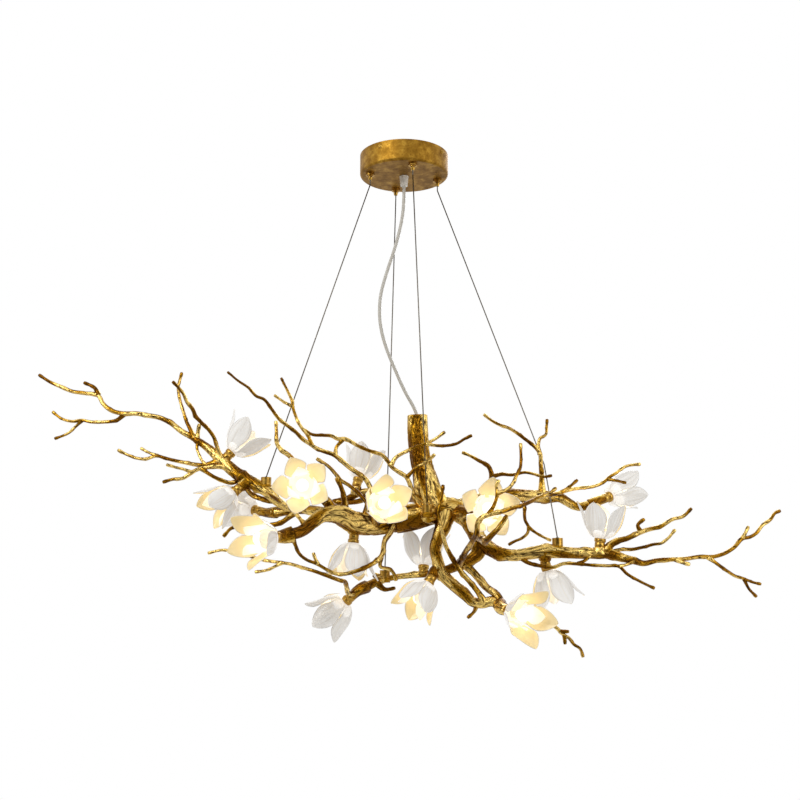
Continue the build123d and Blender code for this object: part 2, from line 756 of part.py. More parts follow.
# The terminal block under the plate, over the cord's end
with BuildPart() as terminal_block:
    with Locations(Location((0, 0, -BRACKET_THICK))):
        Box(BLOCK_LENGTH, BLOCK_WIDTH, BLOCK_HEIGHT, align=(Align.CENTER, Align.CENTER, Align.MAX))
save("terminal_block", terminal_block.part)

# The gland: a threaded neck through the cap and a cone below it, bored for the cord
with BuildPart() as cord_gland:
    with Locations(Location((0, 0, -CANOPY_HEIGHT))):
        Cylinder(GLAND_THREAD_R, GLAND_INSIDE, align=(Align.CENTER, Align.CENTER, Align.MIN))
        Cone(GLAND_TIP_R, GLAND_TOP_R, GLAND_LENGTH, align=(Align.CENTER, Align.CENTER, Align.MAX))
        Cylinder(CORD_R + FIT_GAP, 4 * GLAND_LENGTH, mode=Mode.SUBTRACT)
save("cord_gland", cord_gland.part)

# Gripper bodies: a barrel through the cap, a flange, and a sleeve that guides the tip
flange_z = -CANOPY_HEIGHT - GRIPPER_FLANGE
sleeve_z = flange_z - GRIPPER_SLEEVE
knob_z = sleeve_z - TIP_TRAVEL - SLIDE_GAP
wire_bore_r = WIRE_R + SLIDE_GAP
gripper_spots = {side: around(angle, GRIPPER_CIRCLE_R, 0) for side, angle in GRIPPER_ANGLES.items()}
with BuildPart() as gripper_bodies:
    with Locations(*[Location(place) for place in gripper_spots.values()]):
        with Locations(Location((0, 0, -CANOPY_HEIGHT))):
            Cylinder(GRIPPER_BARREL_R, GRIPPER_INSIDE, align=(Align.CENTER, Align.CENTER, Align.MIN))
            Cylinder(GRIPPER_FLANGE_R, GRIPPER_FLANGE, align=(Align.CENTER, Align.CENTER, Align.MAX))
        with Locations(Location((0, 0, flange_z))):
            Cylinder(GRIPPER_SLEEVE_R, GRIPPER_SLEEVE, align=(Align.CENTER, Align.CENTER, Align.MAX))
        with Locations(Location((0, 0, sleeve_z))):
            Cylinder(
                TIP_STEM_R + SLIDE_GAP,
                TIP_STEM,
                align=(Align.CENTER, Align.CENTER, Align.MIN),
                mode=Mode.SUBTRACT,
            )
            Cylinder(wire_bore_r, 8 * GRIPPER_INSIDE, mode=Mode.SUBTRACT)
save("gripper_bodies", gripper_bodies.part)

# Gripper tips: a stem in the sleeve and a knob below it
tip_stem = TIP_STEM - SLIDE_GAP
for side, place in gripper_spots.items():
    with BuildPart() as gripper_tip:
        with Locations(Location(place + Vector(0, 0, knob_z))):
            Cylinder(TIP_STEM_R, tip_stem, align=(Align.CENTER, Align.CENTER, Align.MIN))
            Cone(TIP_KNOB_R * 0.7, TIP_KNOB_R, TIP_KNOB, align=(Align.CENTER, Align.CENTER, Align.MAX))
            Cylinder(wire_bore_r, 8 * TIP_STEM, mode=Mode.SUBTRACT)
    save(f"gripper_tip_{side}", gripper_tip.part)

# Cups on the branches, each with a hole for its wire's ferrule
anchor_tops = {side: spot(*place) for side, (bough, place) in ANCHORS.items()}
with BuildPart() as wire_anchors:
    with Locations(*[Location(top) for top in anchor_tops.values()]):
        Cylinder(ANCHOR_R, ANCHOR_HEIGHT, align=(Align.CENTER, Align.CENTER, Align.MAX))
        Cylinder(
            FERRULE_R + 2 * SLIDE_GAP,
            ANCHOR_HOLE,
            align=(Align.CENTER, Align.CENTER, Align.MAX),
            mode=Mode.SUBTRACT,
        )
save("wire_anchors", wire_anchors.part)

# Wires: straight down through the gripper, then taut to the ferrule in the cup
for side, top in anchor_tops.items():
    start = gripper_spots[side] + Vector(0, 0, -CANOPY_HEIGHT + GRIPPER_INSIDE + 2)
    bend = gripper_spots[side] + Vector(0, 0, knob_z - TIP_KNOB - WIRE_LEAD)
    ferrule_foot = top + Vector(0, 0, SLIDE_GAP - ANCHOR_HOLE)
    with BuildPart() as suspension_wire:
        with BuildLine() as run:
            FilletPolyline(
                start,
                bend,
                *[spot(*place) for place in WIRE_BENDS[side]],
                ferrule_foot + Vector(0, 0, FERRULE_LENGTH - 1),
                radius=WIRE_BEND_R,
            )
        with BuildSketch(Plane(start, z_dir=(0, 0, -1))):
            Circle(WIRE_R)
        sweep(path=run.wire())
        with Locations(Location(ferrule_foot)):
            Cylinder(FERRULE_R, FERRULE_LENGTH, align=(Align.CENTER, Align.CENTER, Align.MIN))
    save(f"suspension_wire_{side}", suspension_wire.part)

# The power cord: straight runs joined by tangent arcs
cord_spots = [spot(*place, 0) for place in CORD_ROUTE]
cord_runs = [b - a for a, b in zip(cord_spots, cord_spots[1:])]
cord_radii = [
    0.45 * min(a.length, b.length) / tan(radians(a.get_angle(b)) / 2)
    for a, b in zip(cord_runs, cord_runs[1:])
]
with BuildPart() as power_cord:
    with BuildLine() as cord_line:
        FilletPolyline(*cord_spots, radius=cord_radii)
    with BuildSketch(Plane(cord_spots[0], z_dir=(0, 0, -1))):
        Circle(CORD_R)
    sweep(path=cord_line.wire())
save("power_cord", power_cord.part)

# The branches, each one solid with its twigs, posts for its blossoms and a boss under its wire cup
wood = {}
for bough, routes in BOUGHS.items():
    seats = [seat(blossom) for blossom in BLOSSOMS if blossom.bough == bough]
    sticks = [branch(*stations(route)) for route in routes]
    sticks += [stem(blossom) for blossom in BLOSSOMS if blossom.bough == bough and blossom.stem]
    bosses = [
        Location(anchor_tops[side] - Vector(0, 0, ANCHOR_HEIGHT))
        for side, (carrier, place) in ANCHORS.items()
        if carrier == bough
    ]
    with BuildPart() as limb:
        add(sticks)
        for place in bosses:
            with Locations(place):
                Cylinder(BOSS_R, BOSS_HEIGHT, align=(Align.CENTER, Align.CENTER, Align.MAX))
                Cylinder(
                    ANCHOR_R + FIT_GAP,
                    1.5 * ANCHOR_HEIGHT,
                    align=(Align.CENTER, Align.CENTER, Align.MIN),
                    mode=Mode.SUBTRACT,
                )
        for foot in seats:
            with Locations(foot.location):
                Cylinder(POST_R, POST_LENGTH, align=(Align.CENTER, Align.CENTER, Align.MAX))
                Cylinder(
                    THREAD_R + FIT_GAP,
                    THREAD_BORE,
                    align=(Align.CENTER, Align.CENTER, Align.MAX),
                    mode=Mode.SUBTRACT,
                )
        if bough == "trunk":
            with Locations(Location(spot(*TRUNK_TOP, 0))):
                Cylinder(TRUNK_BORE_R, 2 * TRUNK_BORE, mode=Mode.SUBTRACT)
        for other in FITTED_TO[bough]:
            add(wood[other], mode=Mode.SUBTRACT)
    wood[bough] = limb.part
    save(bough, limb.part)

# Holders: a body on the shade's floor and a stem screwed into the branch
with BuildPart() as lamp_holders:
    for foot in [seat(blossom) for blossom in BLOSSOMS]:
        with Locations(foot.location):
            Cylinder(THREAD_R, THREAD_LENGTH, align=(Align.CENTER, Align.CENTER, Align.MAX))
            Cylinder(THREAD_R, SHADE_FLOOR, align=(Align.CENTER, Align.CENTER, Align.MIN))
            with Locations(Location((0, 0, SHADE_FLOOR))):
                Cylinder(HOLDER_R, HOLDER_HEIGHT, align=(Align.CENTER, Align.CENTER, Align.MIN))
            with Locations(Location((0, 0, SHADE_FLOOR + HOLDER_HEIGHT))):
                Cylinder(
                    PLUG_R + SLIDE_GAP,
                    PLUG_LENGTH + SLIDE_GAP,
                    align=(Align.CENTER, Align.CENTER, Align.MAX),
                    mode=Mode.SUBTRACT,
                )
save("lamp_holders", lamp_holders.part)

# One bulb: a plug, a collar and a round frosted globe
bulb_z = SHADE_FLOOR + HOLDER_HEIGHT + SLIDE_GAP
with BuildPart() as bulb_form:
    with Locations(Location((0, 0, bulb_z))):
        Cylinder(PLUG_R, PLUG_LENGTH, align=(Align.CENTER, Align.CENTER, Align.MAX))
        Cylinder(BULB_COLLAR_R, BULB_COLLAR, align=(Align.CENTER, Align.CENTER, Align.MIN))
    with Locations(Location((0, 0, bulb_z + BULB_COLLAR + 0.8 * BULB_R))):
        Sphere(BULB_R)

# Shades and bulbs, one of each on every seat
blossom_form = shade_form()
for number, blossom in enumerate(BLOSSOMS, 1):
    with BuildPart() as shade:
        with Locations(seat(blossom).location):
            add(blossom_form)
    save(f"shade_{number:02}", shade.part)
    with BuildPart() as bulb:
        with Locations(seat(blossom).location):
            add(bulb_form.part)
    save(f"bulb_{number:02}", bulb.part)
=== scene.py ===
"""Brass branch chandelier with porcelain magnolia lights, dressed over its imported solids."""

from collections import namedtuple
from math import pi, radians

import bpy
import numpy as np
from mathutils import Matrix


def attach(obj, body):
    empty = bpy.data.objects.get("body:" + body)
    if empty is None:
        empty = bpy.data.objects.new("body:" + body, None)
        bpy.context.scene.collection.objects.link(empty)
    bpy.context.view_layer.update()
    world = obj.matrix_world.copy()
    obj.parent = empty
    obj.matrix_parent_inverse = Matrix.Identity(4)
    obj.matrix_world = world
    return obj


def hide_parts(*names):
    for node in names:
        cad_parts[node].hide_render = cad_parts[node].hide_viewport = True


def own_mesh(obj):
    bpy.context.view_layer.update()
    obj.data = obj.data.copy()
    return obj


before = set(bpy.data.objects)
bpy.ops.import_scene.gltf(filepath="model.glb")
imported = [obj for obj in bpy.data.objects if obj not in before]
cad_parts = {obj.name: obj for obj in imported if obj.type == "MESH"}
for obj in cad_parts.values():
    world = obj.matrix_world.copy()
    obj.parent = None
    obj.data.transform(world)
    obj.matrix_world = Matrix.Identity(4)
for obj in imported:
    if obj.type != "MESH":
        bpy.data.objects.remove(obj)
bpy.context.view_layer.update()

# Sizes below are in millimetres in the frame's axes and become metres when a mesh is made.
MM = 0.001

Route = namedtuple("Route", "points depths widths")
Blossom = namedtuple("Blossom", "bough base facing stem stem_width turn")
Whorl = namedtuple("Whorl", "ribs petals first_angle blossom_step petal_step glow")
Lamp = namedtuple("Lamp", "name place size power")

# The viewer's eye that the branches were drawn from; a depth moves a drawn point along its sight line.
EYE = np.array((-7.0, -1796.0, -753.0))

# Wires: a lead in the gripper, a run down to a cup on a branch, and a ferrule at its end
WIRE_TOP_Z = -22.0
WIRE_BEND_Z = -55.8
WIRE_R = 1.0
WIRE_END_RISE = 0.3
WIRE_COLUMNS = 12
FERRULE_LENGTH = 7.0
FERRULE_RISE = 1.0
FERRULE_COLUMNS = 24
FERRULE_PROFILE = (
    (-FERRULE_LENGTH, 0.3), (-FERRULE_LENGTH, 2.1), (-6.7, 2.4), (-0.6, 2.4), (0.0, 1.9), (0.0, WIRE_R),
)
GRIPPER_CIRCLE_R = 59.0
GRIPPER_ANGLES = {"left": 194, "back": 104, "front": 284, "right": 14}
CORD_R = 2.75
CORD_COLUMNS = 20

# Turned forms on the branches: heights from the foot and radii
TURNED_COLUMNS = 40
ANCHOR_HEIGHT = 12.0
BOSS_HEIGHT = 8.0
BOSS_PROFILE = ((-BOSS_HEIGHT, 2.0), (-BOSS_HEIGHT, 8.6), (-2.0, 9.5), (-0.6, 9.4), (0.0, 8.8), (0.0, 0.2))
BOSS_POLISH = 0.4
POST_R = 8.0
POST_LENGTH = 16.0
POST_PROFILE = (
    (-POST_LENGTH, 4.0), (-POST_LENGTH, 6.8), (-14.5, 7.9), (-7.5, POST_R), (-7.0, 7.6), (-6.4, 7.6),
    (-5.9, 8.6), (-5.3, 9.0), (-1.2, 9.0), (-0.5, 8.6), (-0.2, 8.0), (-0.2, 5.5), (-3.0, 5.3), (-3.0, 0.2),
)
POST_POLISH = 0.5

# A stem runs straight for its lead below the post, if that still rises, and ends inside the post.
STEM_LEAD = 26.0
STEM_RISE = 6.0
STEM_IN_POST = 2.0

# Bark's rings: the gaps between them and between the points round one, with the limits of both counts
RING_GAPS = (1.2, 1.7)
RINGS_MIN = 6
POINT_GAP = 1.2
POINTS_ROUND = (14, 110)

# Swells at the root, at a twig's tip, at knots and in slow waves, as shares of the radius
ROOT_SWELL = 0.4
TIP_SWELL = 0.3
TWIG_TIP_R = 4.0
KNOT_SWELL = 0.28
SLOW_SWELL = 0.06

# Knots: their length and spacing in mean widths, and a gap that is added to the spacing
KNOT_LENGTH = 0.55
KNOT_SPACING = 3.6
KNOT_GAP = 8.0

# Grooves: the depth as a share of the radius with its limits, the widths as levels of the noise that they
# follow, the stretch along the branch, and the radii from which they have their full width and full depth
GROOVE_DEPTH = 0.13
GROOVE_DEPTHS = (0.12, 2.3)
GROOVE_WIDTH = 0.34
FINE_GROOVE_WIDTH = 0.3
FINE_GROOVE_SHARE = 0.45
GROOVE_STRETCH = 5.5
WIDE_GROOVE_R = 12.0
DEEP_GROOVE_R = 5.0

# A twig's blunt end: each ring's way ahead in tip radii, and its share of the last ring
BLUNT_TIP = ((0.2, 0.86), (0.3, 0.5), (0.3, 0.02))

# The log's sawn face from rim to bore: how far each ring lies below the rim, and its share of the rim
SAWN_FACE = ((0, 0.95), (0, 0.84), (0.4, 0.78), (0.2, 0.66), (0.5, 0.6), (0.2, 0.45), (0.5, 0.4))
TRUNK_TOP = (21.6, -449.5)
TRUNK_BORE_R = 5.0
TRUNK_BORE_DEPTH = 14.0

# Each wire's cup: the branch that carries it, and its mouth across, in height and in depth
ANCHORS = {
    "left": ("left_upper_limb", (-224, -551, 16)),
    "back": ("lower_left_limb", (-31, -700, 45)),
    "front": ("trunk", (37, -596, -30)),
    "right": ("right_limb", (246, -649, -45)),
}

# Where a wire bends round a twig on its way down
WIRE_BENDS = {"left": (), "back": (), "front": (), "right": ((227.5, -530, 66),)}

# The cord's route from the terminal block to the trunk
CORD_ROUTE = (
    (0, -18),
    (0, -52),
    (-0.5, -87),
    (-4, -117),
    (-14, -159),
    (-27, -198),
    (-39, -240),
    (-41.5, -268),
    (-40, -297),
    (-32, -331),
    (-15, -373),
    (1, -410),
    (14, -432),
    (21, -448),
    (21.7, -465),
)

# Each branch runs from its root to its tip; depths and widths are spread evenly along it.
BOUGHS = {
    "trunk": [
        Route(
            (TRUNK_TOP, (22.4, -485), (24, -510), (29, -535), (36, -562), (45, -588), (52, -604)),
            (0, 0),
            (31, 33, 31, 34, 40, 46, 44),
        ),
        Route(
            ((-14, -621), (20, -616), (50, -607), (80, -603), (93, -612)),
            (0, 0),
            (30, 33, 42, 36, 28),
        ),
        Route(((84, -604), (98, -590), (109, -574)), (0, 0), (14, 11, 7)),
        Route(((46, -610), (37, -613)), (-4, -31), (24, 19)),
    ],
    "left_limb": [
        Route(
            (
                (6, -618), (-20, -623), (-48, -626), (-78, -624), (-110, -611), (-134, -614),
                (-150, -626), (-164, -637), (-181, -643),
            ),
            (0, 0, -8, -20, -36, -52, -70, -84),
            (24, 28, 34, 38, 33, 25, 20, 18.5, 18),
        ),
        Route(
            (
                (-14, -622), (-23, -641), (-31, -653), (-37, -678), (-47, -687), (-59, -694), (-76, -701),
                (-96, -706), (-108, -706), (-122, -700), (-140, -690), (-157, -683), (-168, -674),
                (-174, -662), (-180, -646),
            ),
            (-4, -30, -48, -64, -70, -69, -69, -74, -82),
            (10, 8, 7.5, 7, 6, 5, 5, 5, 6),
        ),
        Route(((-37, -678), (-38, -694), (-22, -699), (-16, -707), (-13, -717)), (-46, -48), (6, 5.5, 5)),
        Route(((-138, -691), (-143, -681), (-146, -672)), (-69, -70), (5, 4)),
        Route(
            (
                (-46, -620), (-53, -603), (-65, -587), (-78, -573), (-91, -563), (-104, -555), (-112, -545),
                (-122, -534), (-143, -520),
            ),
            (-6, -24, -33, -37, -40),
            (8, 6.5, 6, 6, 4.6),
        ),
        Route(
            ((-96, -612), (-96, -594), (-98, -580), (-104, -563), (-110, -551)),
            (-26, -32, -38),
            (11, 8, 6),
        ),
        Route(
            (
                (-124, -592), (-150, -558), (-176, -527), (-189, -514), (-200, -506), (-207, -497),
                (-209, -475), (-210, -458),
            ),
            (-34, -36, -34, -32),
            (10, 9.5, 9, 8, 6, 4.6),
        ),
    ],
    "left_back_limb": [
        Route(((-118, -613), (-148, -604), (-187, -606), (-213, -609)), (-34, -9, 16, 32), (16, 14, 13, 15)),
        Route(
            (
                (-172, -605), (-184, -614), (-198, -624), (-223, -629), (-252, -630), (-278, -633),
                (-291, -647),
            ),
            (6, 14, 20, 22, 20, 16),
            (9, 8, 8, 7, 6, 4.6),
        ),
    ],
    "left_upper_limb": [
        Route(
            (
                (-164, -604), (-188, -600), (-206, -589), (-222, -574), (-245, -561), (-270, -546),
                (-296, -524), (-322, -501), (-343, -487), (-363, -476), (-383, -461), (-400, -453),
                (-420, -449), (-439, -446), (-460, -446), (-482, -440), (-494, -430), (-503, -416),
                (-525, -412), (-546, -409), (-566, -401), (-584, -393), (-603, -381),
            ),
            (0, 10, 18, 28, 36, 42, 46, 50, 56, 62, 68, 74),
            (8, 14, 18, 22, 20, 14, 10, 8.6, 8, 7.6, 7.2, 7, 6.6, 6, 4.6),
        ),
        Route(
            ((-230, -568), (-205, -587), (-192, -595), (-181, -604), (-168, -618), (-158, -631)),
            (18, -2, -22, -40, -56, -66),
            (8, 6.5, 6, 6, 6, 7),
        ),
        Route(((-503, -415), (-509, -404), (-528, -394)), (60, 63), (6.6, 6, 4.8)),
        Route(
            (
                (-458, -446), (-469, -456), (-492, -460), (-512, -460), (-529, -457), (-542, -459),
                (-560, -455), (-577, -443),
            ),
            (54, 60, 66, 72),
            (7, 5.4, 5, 4.2),
        ),
        Route(((-527, -457), (-536, -466), (-547, -477), (-571, -488)), (65, 70), (5, 4.6, 4)),
        Route(
            (
                (-289, -529), (-301, -512), (-306, -499), (-311, -485), (-318, -475), (-333, -460),
                (-342, -450), (-347, -439), (-356, -428), (-364, -412), (-382, -392),
            ),
            (30, 24, 14, 6),
            (9, 6.4, 6, 7, 5.4, 4.4),
        ),
        Route(
            (
                (-343, -488), (-350, -472), (-357, -458), (-362, -443), (-369, -421), (-372, -405),
                (-367, -377),
            ),
            (40, 50, 54),
            (8, 5.6, 5, 4.4),
        ),
        Route(
            ((-336, -491), (-338, -502), (-334, -514), (-328, -525), (-316, -535)),
            (39, 33, 23),
            (5, 4.4, 5),
        ),
        Route(((-338, -490), (-337, -476), (-335, -463)), (40, 38), (6.5, 5)),
        Route(
            (
                (-298, -524), (-328, -531), (-356, -527), (-388, -520), (-402, -516), (-422, -521),
                (-438, -519), (-451, -514), (-467, -506),
            ),
            (31, 30, 30, 34, 38),
            (10, 6.4, 5.6, 5.2, 4.4),
        ),
        Route(((-401, -516), (-417, -510), (-430, -503)), (34, 36), (5, 4)),
        Route(
            (
                (-274, -543), (-295, -534), (-321, -535), (-338, -539), (-349, -546), (-358, -552),
                (-375, -554), (-392, -559),
            ),
            (26, 22, 18, 16),
            (10, 7, 6, 4.6),
        ),
        Route(((-345, -543), (-358, -538), (-374, -534), (-387, -530)), (18, 14), (5, 4.2)),
        Route(
            ((-329, -537), (-311, -549), (-298, -555), (-280, -560), (-262, -552)),
            (19, 13, 17, 30),
            (6, 6, 6.5, 8),
        ),
        Route(((-262, -553), (-249, -577), (-227, -587), (-204, -590)), (32, 37, 30, 16), (10, 8, 9, 9)),
    ],
    "back_limb": [
        Route(
            ((40, -588), (8, -583), (-27, -580), (-55, -575), (-74, -577), (-92, -586), (-116, -591)),
            (8, 56, 88, 98, 100, 98),
            (20, 15, 13, 13, 12, 9),
        ),
        Route(((-50, -576), (-66, -587), (-90, -592), (-110, -591)), (97, 94, 94, 97), (10, 9, 8, 8)),
    ],
    "left_twigs": [
        Route(
            (
                (-64, -620), (-59, -596), (-54, -573), (-62, -555), (-77, -543), (-90, -534), (-104, -522),
                (-115, -514), (-129, -509), (-142, -504), (-154, -496), (-165, -489), (-178, -476),
                (-191, -466), (-203, -457), (-218, -438), (-231, -422), (-243, -417), (-255, -404),
                (-274, -391), (-292, -376),
            ),
            (-14, -44, -54, -60, -64, -68, -72, -74),
            (11, 8, 7.4, 7, 6.4, 6, 5.4, 5, 4.2, 3.2),
        ),
        Route(
            (
                (-151, -498), (-158, -481), (-165, -473), (-172, -463), (-177, -452), (-182, -438),
                (-184, -426), (-192, -408), (-203, -386),
            ),
            (-62, -61, -60),
            (5.6, 5, 5, 3.6),
        ),
        Route(((-182, -435), (-200, -425), (-214, -415)), (-60, -62), (4.8, 3.6)),
        Route(
            (
                (30, -595), (14, -578), (8, -559), (3, -550), (-8, -543), (-22, -532), (-29, -521),
                (-37, -514), (-49, -510), (-63, -505), (-76, -499), (-86, -493), (-97, -488), (-108, -488),
                (-119, -483), (-132, -482), (-149, -481), (-166, -472),
            ),
            (-9, -38, -46, -50, -54, -58, -60),
            (12, 7, 6.4, 6, 5.4, 6.4, 5, 4.8),
        ),
        Route(((-100, -489), (-111, -503), (-112, -517)), (-55, -57), (5, 5.5)),
        Route(
            ((-22, -532), (-14, -519), (0, -510), (17, -502), (34, -496), (49, -489), (67, -476)),
            (-49, -52, -56),
            (6, 5, 4.2),
        ),
        Route(
            ((36, -496), (54, -499), (68, -499), (85, -496), (100, -487), (111, -482)),
            (-54, -57),
            (5, 5, 4.2),
        ),
        Route(((4, -551), (19, -536), (32, -528), (42, -521), (50, -513)), (-43, -45), (5.4, 4.4)),
    ],
    "right_limb": [
        Route(
            (
                (84, -606), (102, -618), (111, -634), (120, -652), (134, -664), (150, -672), (172, -676),
                (190, -675), (208, -672), (227, -670), (243, -671), (271, -673), (297, -673), (312, -674),
                (328, -674), (348, -680), (366, -685), (383, -689), (403, -685), (429, -683), (450, -682),
                (470, -679), (498, -678), (514, -673), (530, -663), (543, -650), (556, -647), (566, -641),
                (577, -628), (591, -618), (598, -609), (607, -605),
            ),
            (0, -20, -32, -40, -46, -50, -50, -46, -38, -28, -16, -4, 6),
            (22, 25, 25, 22, 18, 18, 21, 18, 16, 17, 14, 10, 7.4, 6.6, 6.4, 6.2, 6, 6, 5.6, 5.2, 4.6),
        ),
        Route(((543, -650), (549, -640), (554, -630)), (-12, -8), (5.4, 4.2)),
        Route(
            ((486, -679), (502, -691), (517, -702), (528, -709), (541, -713), (556, -719), (569, -722)),
            (-28, -20, -14),
            (6, 5, 4),
        ),
        Route(((542, -713), (549, -729), (561, -742)), (-17, -14), (5, 4)),
        Route(((434, -683), (446, -688), (457, -691)), (-39, -36), (6, 4.8)),
        Route(
            (
                (322, -674), (331, -660), (342, -654), (359, -649), (374, -642), (390, -636), (413, -630),
                (432, -619), (450, -614), (464, -601),
            ),
            (-50, -50, -46, -42),
            (11, 9, 7.6, 6.4, 5.6, 4.4),
        ),
        Route(((381, -640), (376, -629), (387, -618)), (-47, -46), (6, 4.8)),
        Route(
            (
                (330, -672), (348, -667), (364, -667), (385, -663), (400, -659), (413, -657), (423, -650),
                (436, -635),
            ),
            (-50, -58, -58),
            (6, 5, 4),
        ),
        Route(
            (
                (184, -677), (196, -687), (212, -692), (240, -695), (253, -690), (277, -690), (299, -692),
                (324, -693), (343, -694), (356, -706), (373, -716), (399, -729),
            ),
            (-38, -62, -62, -62, -60, -60),
            (7, 5.2, 5, 5, 4),
        ),
        Route(((343, -694), (356, -691), (368, -686)), (-61, -52), (4.6, 4.6)),
        Route(((277, -690), (290, -684), (299, -675)), (-61, -54), (4.6, 5)),
        Route(
            ((117, -647), (125, -651), (139, -646), (154, -630), (166, -612)),
            (-22, -150, -160, -162),
            (11, 9, 7, 4.6),
        ),
    ],
    "right_upper_limb": [
        Route(
            (
                (82, -604), (104, -595), (126, -587), (150, -582), (173, -580), (202, -582), (220, -582),
                (237, -583), (252, -584), (264, -591), (277, -598), (289, -599), (300, -594),
            ),
            (4, 24, 38, 47, 53, 57, 60, 63, 66),
            (22, 20, 20, 21, 22, 22, 21, 18, 15, 13.5, 12.5),
        ),
        Route(
            (
                (223, -582), (223, -565), (223, -548), (222, -530), (221, -512), (212, -500), (197, -488),
                (184, -478), (171, -470), (157, -465), (144, -458), (130, -447),
            ),
            (58, 54, 48, 42),
            (11, 8, 7, 6, 5.6, 5, 4.2),
        ),
        Route(
            ((221, -514), (219, -497), (222, -487), (231, -481), (233, -468), (234, -455)),
            (53, 52),
            (6, 5, 4.2),
        ),
        Route(
            ((140, -584), (138, -566), (142, -550), (136, -532), (122, -524), (108, -516), (94, -510)),
            (43, 38, 36, 34),
            (12, 9, 8, 7, 5, 4.6),
        ),
        Route(
            ((141, -550), (159, -546), (174, -547), (197, -543), (212, -546), (226, -550), (240, -548)),
            (37, 40, 42),
            (6.4, 5, 4.2),
        ),
        Route(
            (
                (193, -584), (194, -600), (195, -621), (200, -632), (198, -641), (189, -649), (175, -655),
                (167, -660),
            ),
            (55, 51, 48),
            (7, 5.4, 5, 4),
        ),
        Route(((199, -631), (211, -640), (223, -647), (236, -653)), (50, 48), (5, 4)),
    ],
    "lower_limb": [
        Route(
            (
                (66, -610), (60, -634), (53, -651), (49, -665), (53, -684), (61, -706), (78, -723),
                (97, -740), (109, -750), (124, -752), (139, -749), (152, -753),
            ),
            (-2, -20, -28, -30, -31, -33, -36, -40),
            (23, 22, 19, 17, 17, 18, 18, 17, 16, 16, 16),
        ),
        Route(
            (
                (127, -751), (120, -738), (106, -720), (88, -699), (74, -676), (67, -662), (62, -643),
                (58, -627), (55, -611), (56, -599), (60, -584), (63, -563),
            ),
            (-38, -46, -46, -46, -46, -44, -40, -38),
            (9, 8, 8, 7.4, 6, 5.4, 5, 4.4),
        ),
        Route(
            ((95, -689), (111, -704), (131, -727), (147, -739), (156, -755)),
            (-25, -28, -34, -44),
            (11, 11, 12, 13),
        ),
        Route(
            ((120, -656), (118, -673), (106, -684), (88, -692), (62, -702)),
            (-22, -22, -25, -30),
            (18, 17, 15, 14),
        ),
        Route(((115, -752), (112, -763), (100, -775)), (-37, -43), (7, 5, 4)),
        Route(
            (
                (152, -753), (200, -772), (243, -792), (252, -801), (260, -806), (268, -816), (277, -822),
                (282, -836),
            ),
            (-40, -28, -30, -36),
            (8, 6, 5.4, 4.2),
        ),
        Route(((248, -796), (261, -796)), (-32, -34), (5, 4)),
        Route(((253, -802), (254, -816)), (-32, -32), (5, 4)),
    ],
    "lower_left_limb": [
        Route(
            ((62, -708), (34, -706), (10, -708), (-9, -710), (-33, -713), (-50, -707)),
            (-30, 36, 48, 48, 45, 48),
            (14, 12, 10, 9, 10, 7),
        ),
        Route(((-31, -713), (-46, -719), (-62, -727)), (44, 34, 22), (9, 13, 15)),
        Route(((-44, -720), (-32, -730), (-14, -728)), (34, 30, 30), (9, 7, 4)),
        Route(
            (
                (-79, -737), (-90, -735), (-92, -727), (-94, -719), (-106, -715), (-120, -710),
                (-142, -702), (-162, -696), (-183, -690), (-197, -688), (-225, -684), (-258, -675),
                (-291, -668), (-315, -673),
            ),
            (12, -62, -70, -58, -44, -34, -28, -24),
            (8, 6, 5.4, 5, 5, 4.6, 4),
        ),
        Route(((-195, -688), (-203, -692), (-217, -699), (-239, -703)), (-49, -46), (4.8, 4)),
    ],
    "right_front_twig": [
        Route(
            (
                (88, -690), (100, -668), (111, -651), (117, -637), (118, -626), (124, -617), (137, -611),
                (155, -607), (173, -601), (191, -596), (207, -589), (225, -581), (244, -578), (255, -575),
                (273, -570), (288, -568), (306, -566), (323, -559), (334, -550), (347, -542), (358, -534),
                (384, -529),
            ),
            (-28, -100, -146, -156, -154, -140, -114, -88, -66, -48, -34, -24, -18),
            (10, 8, 7.4, 7, 6.4, 6, 5.8, 5.4, 5, 5, 4.2),
        ),
        Route(
            ((136, -611), (144, -598), (149, -585), (150, -572), (149, -565), (154, -555)),
            (-155, -152),
            (6, 5, 4.2),
        ),
        Route(
            (
                (150, -577), (159, -574), (170, -568), (177, -559), (183, -546), (188, -537), (190, -522),
                (190, -508), (190, -495),
            ),
            (-153, -146, -138),
            (5.4, 5, 4.2),
        ),
        Route(((223, -582), (236, -576), (246, -568)), (-107, -98), (5, 4.2)),
        Route(((253, -576), (268, -566), (281, -555)), (-82, -72), (5, 4.2)),
        Route(((330, -554), (347, -557), (360, -560)), (-35, -30), (4.8, 4)),
    ],
}

